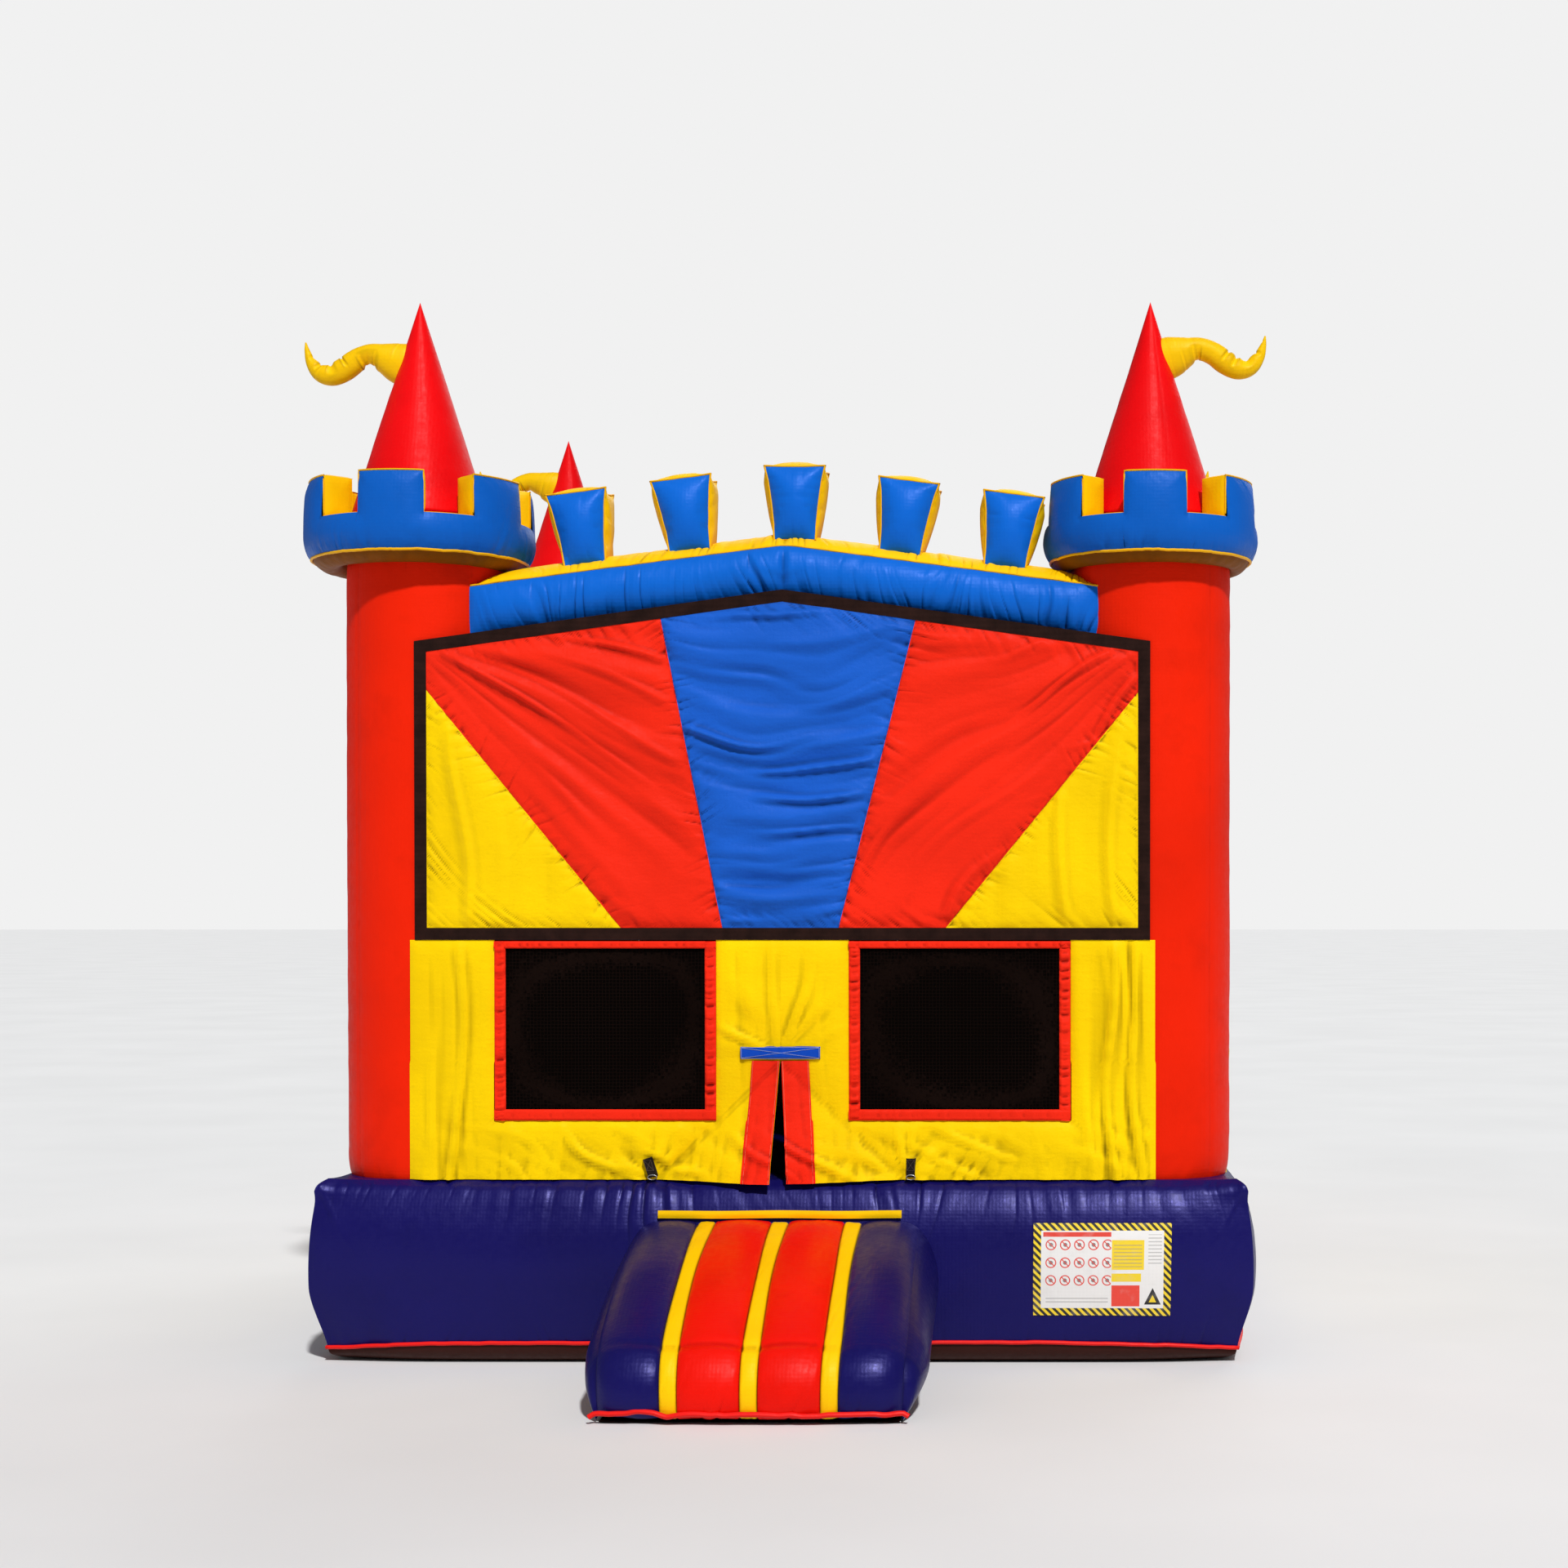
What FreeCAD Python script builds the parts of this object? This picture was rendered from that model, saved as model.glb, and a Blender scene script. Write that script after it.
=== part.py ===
import FreeCAD, Part
import math
import os

# Inflatable castle bounce house, 13 by 13 ft class, inflated and standing on level ground.
# Millimetres. +Z up, -Y is the entrance side, +X to the right seen from the entrance.
# The origin is on the ground, under the centre of the square base.
# Chambers that hold air are closed hollow solids with a wall of SKIN.

V = FreeCAD.Vector

# ---- driving dimensions ----
BASE = 1980.0            # centre to the widest point of the base, each side (13 ft overall)
BASE_WIDEST_Z = 430.0    # height of that widest point
BASE_TOP = 750.0         # flat top of the base, where walls and towers stand
FACE = BASE + 1.6        # just clear of that widest point, where fittings are sewn on
SEAM_Z = 85.0            # red piping seam between side and underside
SKIN = 12.0              # wall of an air chamber
SHEET = 6.0              # thickness of a sewn wall, roof or flap
TAPE = 3.0               # thickness of webbing, tape and patches

TOWER_AXIS = 1525.0      # tower centre line, from the middle, in X and in Y
TOWER_R = 325.0
TURRET_Z = 3340.0        # underside of the turret drum
TURRET_R = 458.0
DRUM_H = 157.0           # drum height, up to the gaps between the merlons
MERLON_H = 168.0
MERLON_IN = 315.0        # inner radius of a merlon
MERLON_ANGLE = 34.0
MERLONS = 6
CONE_R = 290.0
TIP_Z = 4462.0

SLOPE = 0.13             # rise of the gable beam per unit of run
RIDGE_Z = 3185.0         # lower edge of the gable beam at the ridge
BEAM_H = 205.0
BEAM_OUT = 1760.0        # outer face of every beam at its seams, from the middle
BEAM_IN = 1480.0
BEAM_BULGE = 72.0

KEYSTONES = 5
KEYSTONE_PITCH = 440.0
KEYSTONE_SHIFT = 40.0
KEYSTONE_H = 285.0
KEYSTONE_TOP = 242.0
KEYSTONE_FOOT = 168.0
KEYSTONE_DEEP = 210.0

WALL_IN = TOWER_AXIS + TOWER_R + 2.0     # inner face of the sewn walls, just clear of the towers
WALL_OUT = WALL_IN + SHEET
WALL_MID = WALL_IN + SHEET / 2
WALL_HALF = 1545.0
WALL_Z = BASE_TOP + 2.0                  # bottom hem of the walls

FRAME_HALF = 1524.0      # half width of the hook-and-loop frame
FRAME_Z = 1745.0         # its lower edge
FRAME_SIDE_TOP = 2982.0
FRAME_PEAK = 3195.0
FRAME_W = 50.0

WINDOW_IN = 275.0        # window frame, outer edges
WINDOW_OUT = 1195.0
WINDOW_LOW = 995.0
STRIP = 47.0             # width of a window frame's strips
TALL_WINDOW_TOP = 2720.0
TALL_WALL_TOP = 3020.0

DOOR_X = -7.0            # middle of the entrance slit
DOOR_TOP = 1240.0
DOOR_FOOT_Z = 762.0
DOOR_SPREAD = 495.0      # slit to the foot of each fold line
FOLD_R = 3.0             # round edge of a flap, on the fold line
FOLD_GAP = 0.6
FLAP_LOW = BASE_TOP + 6.0

RAMP_HALF = 572.0
RAMP_LENGTH = 1180.0
RAMP_TOP = 596.0
RAMP_NOSE_Z = 235.0
BAND = 72.0              # yellow band of the ramp
LANE = 228.0             # red lane of the ramp

FLOOR_HALF = 1478.0
CHANNELS = 7
WEB = 3.0                # baffle web between two floor channels
CHANNEL_SIDE_Z = 700.0
CHANNEL_CROWN_Z = 738.0

SLEEVE_X = -900.0
SLEEVE_Z = 156.0
SLEEVE_R = 150.0
SLEEVE_WALL = 8.0
SLEEVE_CUFF = 2000.0     # the sleeve's true bore runs from here to its mouth
SLEEVE_END = 2900.0

RING_Y = 1500.0          # anchor rings, along the left and right sides
RING_Z = 318.0
RING_WIRE = 4.0
RING_BEND = 27.0

ZIP_X0, ZIP_X1 = 300.0, 900.0
ZIP_TRAVEL = 540.0

CORNERS = {"front_left": (-1, -1), "front_right": (1, -1), "rear_left": (-1, 1), "rear_right": (1, 1)}
OUT = "parts"


# ---- small helpers ----
def save(name, *solids):
    """Writes the solids as one sub-part."""
    os.makedirs(OUT, exist_ok=True)
    shape = solids[0] if len(solids) == 1 else Part.makeCompound(list(solids))
    shape.exportStep(os.path.join(OUT, name + ".step"))


def box(x0, x1, y0, y1, z0, z1):
    return Part.makeBox(x1 - x0, y1 - y0, z1 - z0, V(x0, y0, z0))


def arc(a, middle, b):
    return Part.Arc(a, middle, b).toShape()


def line(a, b):
    return Part.makeLine(a, b)


def turned(shape, angle):
    """A copy turned about the vertical axis through the origin."""
    copy = shape.copy()
    copy.rotate(V(0, 0, 0), V(0, 0, 1), angle)
    return copy


def mirrored(shape, normal):
    return shape.mirror(V(0, 0, 0), normal)


def solid_of(shape):
    """The one solid that a boolean leaves."""
    return max(shape.Solids, key=lambda s: s.Volume)


def plate(points, y0, y1):
    """A flat sheet standing in an XZ plane, from y0 to y1. points are (x, z)."""
    corners = [V(x, y0, z) for x, z in points]
    return Part.Face(Part.makePolygon(corners + corners[:1])).extrude(V(0, y1 - y0, 0))


def sewn(points, proud=0.0, thick=SHEET):
    """A panel of the front wall. proud lifts it off the wall's outer face."""
    back = -(WALL_IN if proud == 0 else WALL_OUT + proud - thick)
    return plate(points, back - thick, back)


def pillow(corners, bulges, place):
    """A closed outline of one arc per side, bulging outward. place maps (u, v) into space."""
    middle = [sum(p[k] for p in corners) / len(corners) for k in (0, 1)]
    edges = []
    for (a, b), bulge in zip(zip(corners, corners[1:] + corners[:1]), bulges):
        mid = [(a[k] + b[k]) / 2 for k in (0, 1)]
        along = [b[k] - a[k] for k in (0, 1)]
        normal = [along[1], -along[0]]
        if normal[0] * (mid[0] - middle[0]) + normal[1] * (mid[1] - middle[1]) < 0:
            normal = [-normal[0], -normal[1]]
        length = math.hypot(*normal)
        top = [mid[k] + normal[k] / length * bulge for k in (0, 1)]
        edges.append(arc(place(*a), place(*top), place(*b)) if bulge else line(place(*a), place(*b)))
    return Part.Face(Part.Wire(edges))


def inset(corners, by):
    """Corners of a convex outline moved towards its middle, by the same step in each direction."""
    mu = sum(p[0] for p in corners) / len(corners)
    mv = sum(p[1] for p in corners) / len(corners)
    return [(u + math.copysign(by, mu - u), v + math.copysign(by, mv - v)) for u, v in corners]


def revolve(edges, centre, angle=360.0):
    face = Part.Face(Part.Wire(edges))
    face.translate(V(centre[0], centre[1], 0))
    return face.revolve(V(centre[0], centre[1], 0), V(0, 0, 1), angle)


def tower_blank(name, grow=0.0):
    sx, sy = CORNERS[name]
    height = TURRET_Z - BASE_TOP
    return Part.makeCylinder(TOWER_R + grow, height, V(sx * TOWER_AXIS, sy * TOWER_AXIS, BASE_TOP))


# ---- base: four mitred side chambers on a dark underside, with piping at the seam ----
def side_section(by=0.0):
    """Section of one side chamber in the (-Y, Z) plane."""
    low, top = SEAM_Z + 2 + by, BASE_TOP - by
    inner, edge = FLOOR_HALF + 2 + by, BASE - 35.0 - by
    shoulder, seam_z = BASE - 120.0 - by, top - 24.0
    p = [V(0, -inner, low), V(0, -edge, low), V(0, -(BASE - 50.0 - by), seam_z)]
    p += [V(0, -shoulder, top), V(0, -inner, top)]
    widest = V(0, -(BASE - by), BASE_WIDEST_Z)
    corner = V(0, -(BASE - 72.0 - by), top - 7.0)
    edges = [line(p[0], p[1]), arc(p[1], widest, p[2]), arc(p[2], corner, p[3])]
    return Part.Face(Part.Wire(edges + [line(p[3], p[4]), line(p[4], p[0])]))


def wedge(shift):
    """Everything in front of the two mitre planes, which meet shift in front of the middle."""
    far = 3000.0
    corners = [V(0, -shift, 0), V(-far, -far - shift, 0), V(far, -far - shift, 0), V(0, -shift, 0)]
    return Part.Face(Part.makePolygon(corners)).extrude(V(0, 0, 2000))


def side_chamber(hollow=True):
    blank = side_section()
    blank.translate(V(-2200, 0, 0))
    outer = blank.extrude(V(4400, 0, 0)).common(wedge(0))
    if not hollow:
        return solid_of(outer)
    air = side_section(SKIN)
    air.translate(V(-2200, 0, 0))
    return solid_of(outer.cut(air.extrude(V(4400, 0, 0)).common(wedge(SKIN * 1.5))))


def underside_blank(by=0.0):
    """A shallow tray: wide at the seam, tucked in to the ground."""
    def bar():
        top, low = SEAM_Z - 2 - by, by
        wide, foot = BASE - 35.0 - by, BASE - 100.0 - by
        a, b = V(0, -wide, top), V(0, -foot, low)
        c, d = V(0, foot, low), V(0, wide, top)
        edges = [arc(a, V(0, -(BASE - 52.0 - by), 28.0), b), line(b, c)]
        edges += [arc(c, V(0, BASE - 52.0 - by, 28.0), d), line(d, a)]
        face = Part.Face(Part.Wire(edges))
        face.translate(V(-2200, 0, 0))
        return face.extrude(V(4400, 0, 0))
    return solid_of(bar().common(turned(bar(), 90)))


def seam_welt():
    """Piping with its sewn-in tape, one side of the square."""
    r = 8.0
    bead_y = -(BASE - 25.0)
    bead = Part.makeCylinder(r, 4400, V(-2200, bead_y, SEAM_Z), V(1, 0, 0))
    tape = box(-2200, 2200, bead_y + 4, -(BASE - 80.0), SEAM_Z - 2, SEAM_Z + 2)
    return bead.fuse(tape).removeSplitter().common(wedge(0))


def sleeve_blank(radius, start=1850.0):
    return Part.makeCylinder(radius, SLEEVE_END - start, V(SLEEVE_X, start, SLEEVE_Z), V(0, 1, 0))


def build_base():
    save("base_tube", *[turned(side_chamber(), 90 * k) for k in range(4)])
    save("base_underside", underside_blank().cut(underside_blank(SKIN)))
    welts = [solid_of(turned(seam_welt(), 90 * k)) for k in (0, 1, 3)]
    # the rear seam stops either side of the blower sleeve
    welts += turned(seam_welt(), 180).cut(sleeve_blank(SLEEVE_R + 1)).Solids
    save("base_piping", *welts, ramp_welt())


# ---- bounce floor: air channels with a baffle web between each pair ----
def floor_channel(x0, x1):
    def blank(by):
        low = SEAM_Z + 2 + by
        side, crown = CHANNEL_SIDE_Z - by, CHANNEL_CROWN_Z - by
        a, b = V(x0 + by, -FLOOR_HALF + by, low), V(x1 - by, -FLOOR_HALF + by, low)
        c, d = V(b.x, b.y, side), V(a.x, a.y, side)
        top = arc(c, V((x0 + x1) / 2, b.y, crown), d)
        face = Part.Face(Part.Wire([line(a, b), line(b, c), top, line(d, a)]))
        return face.extrude(V(0, 2 * (FLOOR_HALF - by), 0))
    return blank(0).cut(blank(SKIN))


def build_floor():
    pitch = (2 * FLOOR_HALF + WEB) / CHANNELS
    starts = [-FLOOR_HALF + k * pitch for k in range(CHANNELS)]
    save("floor_channels", *[floor_channel(x, x + pitch - WEB) for x in starts])
    webs = [box(x - WEB, x, -FLOOR_HALF, FLOOR_HALF, SEAM_Z + 2, CHANNEL_SIDE_Z) for x in starts[1:]]
    save("floor_baffles", *webs)


# ---- towers, turrets, cones and pennants ----
def tower(name):
    sx, sy = CORNERS[name]
    centre = V(sx * TOWER_AXIS, sy * TOWER_AXIS, BASE_TOP + SKIN)
    return tower_blank(name).cut(
        Part.makeCylinder(TOWER_R - SKIN, TURRET_Z - BASE_TOP - 2 * SKIN, centre))


def turret(name, spin):
    """Drum with a tucked-in underside, and a ring of separate merlons on it."""
    sx, sy = CORNERS[name]
    centre = (sx * TOWER_AXIS, sy * TOWER_AXIS)
    top = TURRET_Z + DRUM_H

    def drum(by):
        low, high, wide = TURRET_Z + by, top - by, TURRET_R - by
        p = [V(0, 0, low), V(TOWER_R - by, 0, low), V(wide - 8, 0, high), V(0, 0, high)]
        belly = V(wide - 6, 0, TURRET_Z + 52)
        edges = [line(p[0], p[1]), arc(p[1], V(wide - 42, 0, low + 14), belly)]
        edges += [arc(belly, V(wide, 0, TURRET_Z + 100), p[2]), line(p[2], p[3]), line(p[3], p[0])]
        return revolve(edges, centre)

    merlons = []
    for k in range(MERLONS):
        a, b = V(MERLON_IN, 0, top), V(TURRET_R - 8, 0, top)
        c, d = V(TURRET_R - 3, 0, top + MERLON_H), V(MERLON_IN, 0, top + MERLON_H)
        one = revolve([line(a, b), line(b, c), line(c, d), line(d, a)], centre, MERLON_ANGLE)
        start = spin - 90 - MERLON_ANGLE / 2 + k * 360 / MERLONS
        one.rotate(V(*centre, 0), V(0, 0, 1), start)
        merlons.append(one)
    return [drum(0).cut(drum(SKIN))] + merlons


def cone(name, hollow=True):
    sx, sy = CORNERS[name]
    foot = TURRET_Z + DRUM_H

    def blank(by):
        low, tip = foot + by, TIP_Z - by * 3.4
        wide = CONE_R - by
        edges = [line(V(0, 0, low), V(wide - 22, 0, low))]
        edges.append(arc(V(wide - 22, 0, low), V(wide - 5, 0, foot + 18), V(wide, 0, foot + 43)))
        edges += [line(V(wide, 0, foot + 43), V(0, 0, tip)), line(V(0, 0, tip), V(0, 0, low))]
        return revolve(edges, (sx * TOWER_AXIS, sy * TOWER_AXIS))
    return blank(0).cut(blank(SKIN)) if hollow else blank(0)


PENNANT = [  # distance from the tower axis, height, half height and half thickness of each section
    (40, 4160, 92, 46), (150, 4192, 66, 44), (250, 4184, 52, 40), (330, 4138, 48, 36),
    (400, 4118, 40, 30), (455, 4150, 31, 22), (486, 4212, 17, 13), (495, 4262, 5, 5)]


def pennant(name):
    """A tapering tail that leaves the cone sideways, dips and curls up at its tip."""
    sx, sy = CORNERS[name]
    sections = []
    for k, (u, z, tall, thick) in enumerate(PENNANT):
        before, after = PENNANT[max(k - 1, 0)], PENNANT[min(k + 1, len(PENNANT) - 1)]
        lean = math.degrees(math.atan2(after[1] - before[1], after[0] - before[0]))
        ring = Part.Ellipse(V(0, 0, 0), tall, thick).toShape()
        ring.rotate(V(0, 0, 0), V(1, 0, 0), 90)
        ring.rotate(V(0, 0, 0), V(0, 0, 1), 90)
        ring.rotate(V(0, 0, 0), V(1, 0, 0), 90)
        ring.rotate(V(0, 0, 0), V(0, 1, 0), -lean)
        ring.translate(V(u, 0, z))
        sections.append(Part.Wire([ring]))
    tail = Part.makeLoft(sections, True, False)
    if sx < 0:
        tail = mirrored(tail, V(1, 0, 0))
    tail.translate(V(sx * TOWER_AXIS, sy * TOWER_AXIS, 0))
    return solid_of(tail.cut(cone(name, hollow=False)))


def build_towers():
    spins = {"front_left": -1.5, "front_right": 0.0, "rear_left": 8.0, "rear_right": -6.0}
    for name in CORNERS:
        save("tower_" + name, tower(name))
        save("turret_" + name, *turret(name, spins[name]))
        save("cone_" + name, cone(name))
    save("pennants", *[pennant(name) for name in CORNERS])


# ---- beams between the towers, roof and keystones ----
def beam_outline(by):
    corners = inset([(-BEAM_OUT, 0), (-BEAM_OUT, BEAM_H), (-BEAM_IN, BEAM_H + 8), (-BEAM_IN, 0)], by)
    return corners, [BEAM_BULGE, 52.0, 45.0, 22.0]


def gable_half(by=0.0):
    """Right half of the front beam, from the ridge down to the right tower."""
    corners, bulges = beam_outline(by)
    face = pillow(corners, bulges, lambda u, v: V(by, u, RIDGE_Z + v - SLOPE * by))
    run = TOWER_AXIS - by
    half = face.extrude(V(run, 0, -SLOPE * run))
    return solid_of(half.cut(tower_blank("front_right", by)))


def side_beam(by=0.0):
    """The beam in front as a level bar, to be turned onto the left, right or rear side."""
    corners, bulges = beam_outline(by)
    level = RIDGE_Z - SLOPE * TOWER_AXIS + 12.0
    face = pillow(corners, bulges, lambda u, v: V(-TOWER_AXIS, u, level + v))
    bar = face.extrude(V(2 * TOWER_AXIS, 0, 0))
    for name in ("front_left", "front_right"):
        bar = bar.cut(tower_blank(name, by))
    return solid_of(bar)


def keystone(k, beams):
    """A block that widens upward, standing square on the sloping beam."""
    deep, foot, top = KEYSTONE_DEEP / 2, KEYSTONE_FOOT / 2, KEYSTONE_TOP / 2
    x = KEYSTONE_SHIFT + (k - (KEYSTONES - 1) / 2) * KEYSTONE_PITCH
    sunk = 60.0
    taper = (top - foot) / KEYSTONE_H
    corners = [(-foot + taper * sunk, -sunk), (foot - taper * sunk, -sunk), (top, KEYSTONE_H), (-top, KEYSTONE_H)]
    block = plate(corners, -deep, deep)
    lean = math.degrees(math.atan(SLOPE)) if abs(x) > KEYSTONE_PITCH / 2 else 0.0
    block.rotate(V(0, 0, 0), V(0, 1, 0), math.copysign(lean, x))
    crown = RIDGE_Z + BEAM_H + 56.0 - SLOPE * abs(x)
    block.translate(V(x, -(BEAM_OUT + BEAM_IN) / 2, crown))
    for beam in beams:
        block = block.cut(beam)
    return solid_of(block)


def roof_half(blockers):
    """Right slope of the roof, a sheet that ends inside the beams' seams."""
    z = RIDGE_Z + 60.0
    reach = (BEAM_OUT + BEAM_IN) / 2
    corners = [V(0, -reach, z), V(reach, -reach, z - SLOPE * reach)]
    corners += [V(reach, -reach, z + SHEET - SLOPE * reach), V(0, -reach, z + SHEET)]
    sheet = Part.Face(Part.makePolygon(corners + corners[:1])).extrude(V(0, 2 * reach, 0))
    for one in blockers:
        sheet = sheet.cut(one)
    return solid_of(sheet)


def build_top():
    outer, air = gable_half(), gable_half(SKIN)
    right, left = outer.cut(air), mirrored(outer.cut(air), V(1, 0, 0))
    save("beam_front", left, right)
    save("beam_rear", turned(left, 180), turned(right, 180))
    side, side_air = side_beam(), side_beam(SKIN)
    save("beam_right", turned(side.cut(side_air), 90))
    save("beam_left", turned(side.cut(side_air), -90))
    fronts = [outer, mirrored(outer, V(1, 0, 0))]
    for k in range(KEYSTONES):
        save("keystone_%d" % (k + 1), keystone(k, fronts))
    blockers = fronts + [turned(one, 180) for one in fronts] + [turned(side, 90)]
    blockers += [tower_blank(name) for name in ("front_right", "rear_right")]
    slope = roof_half(blockers)
    save("roof_panel", mirrored(slope, V(1, 0, 0)), slope)


# ---- front wall: five rays above, windows and the slit door below ----
def gable_z(x, drop=0.0):
    pitch = (FRAME_PEAK - FRAME_SIDE_TOP) / FRAME_HALF
    return FRAME_PEAK - drop - pitch * abs(x)


def build_rays():
    low_out, high_out = (633.0, FRAME_Z), (FRAME_HALF, 2836.0)
    low_in, high_in = (230.0, FRAME_Z), (540.0, gable_z(540.0))
    side_top = (FRAME_HALF, FRAME_SIDE_TOP)

    def both(name, points):
        save("ray_%s_right" % name, sewn(points))
        save("ray_%s_left" % name, sewn([(-x, z) for x, z in points]))

    both("yellow", [low_out, (FRAME_HALF, FRAME_Z), high_out])
    both("red", [low_in, low_out, high_out, side_top, high_in])
    blue = [low_in, high_in, (0, FRAME_PEAK), (-high_in[0], high_in[1]), (-low_in[0], low_in[1])]
    save("ray_blue_centre", sewn(blue))


def build_border():
    """Loop tape round the rays, where an art banner is pressed on."""
    h, w = FRAME_HALF, FRAME_W
    top = [(0, FRAME_PEAK), (h, FRAME_SIDE_TOP), (h - w, gable_z(h - w, w)), (0, FRAME_PEAK - w)]
    side = [(h, FRAME_SIDE_TOP), (h, FRAME_Z), (h - w, FRAME_Z + w), (h - w, gable_z(h - w, w))]
    strips = [top, side, [(-x, z) for x, z in top], [(-x, z) for x, z in side]]
    strips.append([(-h, FRAME_Z), (h, FRAME_Z), (h - w, FRAME_Z + w), (-(h - w), FRAME_Z + w)])
    save("hook_loop_border", *[sewn(s, TAPE, TAPE) for s in strips])


def fold_x(z, side, off=0.0):
    """X of a door flap's fold line at height z. off moves the line away from the door."""
    tilt = DOOR_SPREAD / (DOOR_TOP - DOOR_FOOT_Z)
    return DOOR_X + side * ((DOOR_TOP - z) * tilt + off)


def lower_wall_half(side):
    """Panels of the lower front wall on one side of the slit, clear of the fold line."""
    sideways = (FOLD_R + FOLD_GAP) * math.hypot(DOOR_SPREAD, DOOR_TOP - DOOR_FOOT_Z) / (DOOR_TOP - DOOR_FOOT_Z)
    seam = DOOR_X
    apex = DOOR_TOP + sideways * (DOOR_TOP - DOOR_FOOT_Z) / DOOR_SPREAD
    inner, outer = side * WINDOW_IN, side * WINDOW_OUT
    meets = DOOR_TOP - (abs(inner - DOOR_X) - sideways) * (DOOR_TOP - DOOR_FOOT_Z) / DOOR_SPREAD
    centre = [(inner, FRAME_Z), (seam, FRAME_Z), (seam, apex), (inner, meets)]
    sill_top = [(outer, WINDOW_LOW), (fold_x(WINDOW_LOW, side, sideways), WINDOW_LOW)]
    if abs(sill_top[1][0]) > abs(inner):
        sill_top[1] = (inner, WINDOW_LOW)
    foot = fold_x(WALL_Z + 4, side, sideways)
    sill = [(outer, WALL_Z)] + sill_top + [(foot, WALL_Z + 4), (foot, WALL_Z)]
    corner = [(inner, WINDOW_LOW), (inner, meets), (fold_x(WINDOW_LOW, side, sideways), WINDOW_LOW)]
    edge = [(outer, WALL_Z), (outer, FRAME_Z), (side * WALL_HALF, FRAME_Z), (side * WALL_HALF, WALL_Z)]
    panels = [centre, sill, edge]
    if abs(corner[2][0]) < abs(inner) and meets < WINDOW_LOW:
        panels[0] = [(inner, FRAME_Z), (seam, FRAME_Z), (seam, apex), corner[2], (inner, WINDOW_LOW)]
    return [sewn(p) for p in panels]


def flap(side, slit_top, slit_low):
    """Triangle of fabric between the slit and its fold line, with a round edge on the fold line."""
    top, foot = (DOOR_X, DOOR_TOP), (DOOR_X + side * DOOR_SPREAD, DOOR_FOOT_Z)
    leaf = sewn([(slit_top, DOOR_TOP - 6), (slit_low, FLAP_LOW), (fold_x(FLAP_LOW, side) - side * 14, FLAP_LOW),
                 (fold_x(FLAP_LOW + 20, side), FLAP_LOW + 20), (fold_x(DOOR_TOP - 8, side), DOOR_TOP - 8)])
    start, end = V(top[0], -WALL_MID, top[1]), V(foot[0], -WALL_MID, foot[1])
    along = (end - start).normalize()
    first, last = start + along * 12, end - along * 16
    rim = Part.makeCylinder(FOLD_R, (last - first).Length, first, along)
    keep = [(slit_top, DOOR_TOP + 40), (slit_low, FLAP_LOW), (side * 900, FLAP_LOW), (side * 900, DOOR_TOP + 40)]
    rim = rim.common(plate(keep, -WALL_OUT - 20, -WALL_IN + 20))
    return solid_of(leaf.fuse(rim).removeSplitter())


def flap_hem(side, slit_top, slit_low):
    """Red strip down the slit's edge, kept on the flap's side of the fold line."""
    width = 120.0
    low = FLAP_LOW
    strip = sewn([(slit_top, DOOR_TOP - 6), (slit_low, low), (slit_low + side * width, low),
                  (slit_top + side * width, DOOR_TOP - 6)], TAPE, TAPE)
    away = 14.0
    keep = [(fold_x(DOOR_TOP, side, -away), DOOR_TOP), (fold_x(low, side, -away), low), (slit_low - side * 90, low),
            (slit_top - side * 90, DOOR_TOP)]
    return solid_of(strip.common(plate(keep, -WALL_OUT - 20, -WALL_IN)))


def window_ring(x0, x1, z0, z1, top_strip):
    """Frame of a net window: strips sewn over the edge of the wall, proud of its face."""
    outer = sewn([(x0, z0), (x1, z0), (x1, z1), (x0, z1)], TAPE, TAPE)
    hole = sewn([(x0 + STRIP, z0 + STRIP), (x1 - STRIP, z0 + STRIP), (x1 - STRIP, z1 - top_strip),
                 (x0 + STRIP, z1 - top_strip)], TAPE, TAPE)
    return outer.cut(hole)


def net(x0, x1, z0, z1):
    return sewn([(x0, z0), (x1, z0), (x1, z1), (x0, z1)])


def tall_wall(gabled=False):
    """Panels of a side or rear wall, built in front and turned: stiles, sills and lintels."""
    def upright(x0, x1, z0):
        tops = [(x, gable_z(x) if gabled else TALL_WALL_TOP) for x in (x1, 0, x0) if x0 <= x <= x1]
        return sewn([(x0, z0), (x1, z0)] + tops)

    a, b, w = WINDOW_IN, WINDOW_OUT, WALL_HALF
    panels = [upright(-w, -b, WALL_Z), upright(b, w, WALL_Z), upright(-a, a, WALL_Z)]
    for x0, x1 in ((-b, -a), (a, b)):
        panels += [net(x0, x1, WALL_Z, WINDOW_LOW), upright(x0, x1, TALL_WINDOW_TOP)]
    return panels


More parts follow.
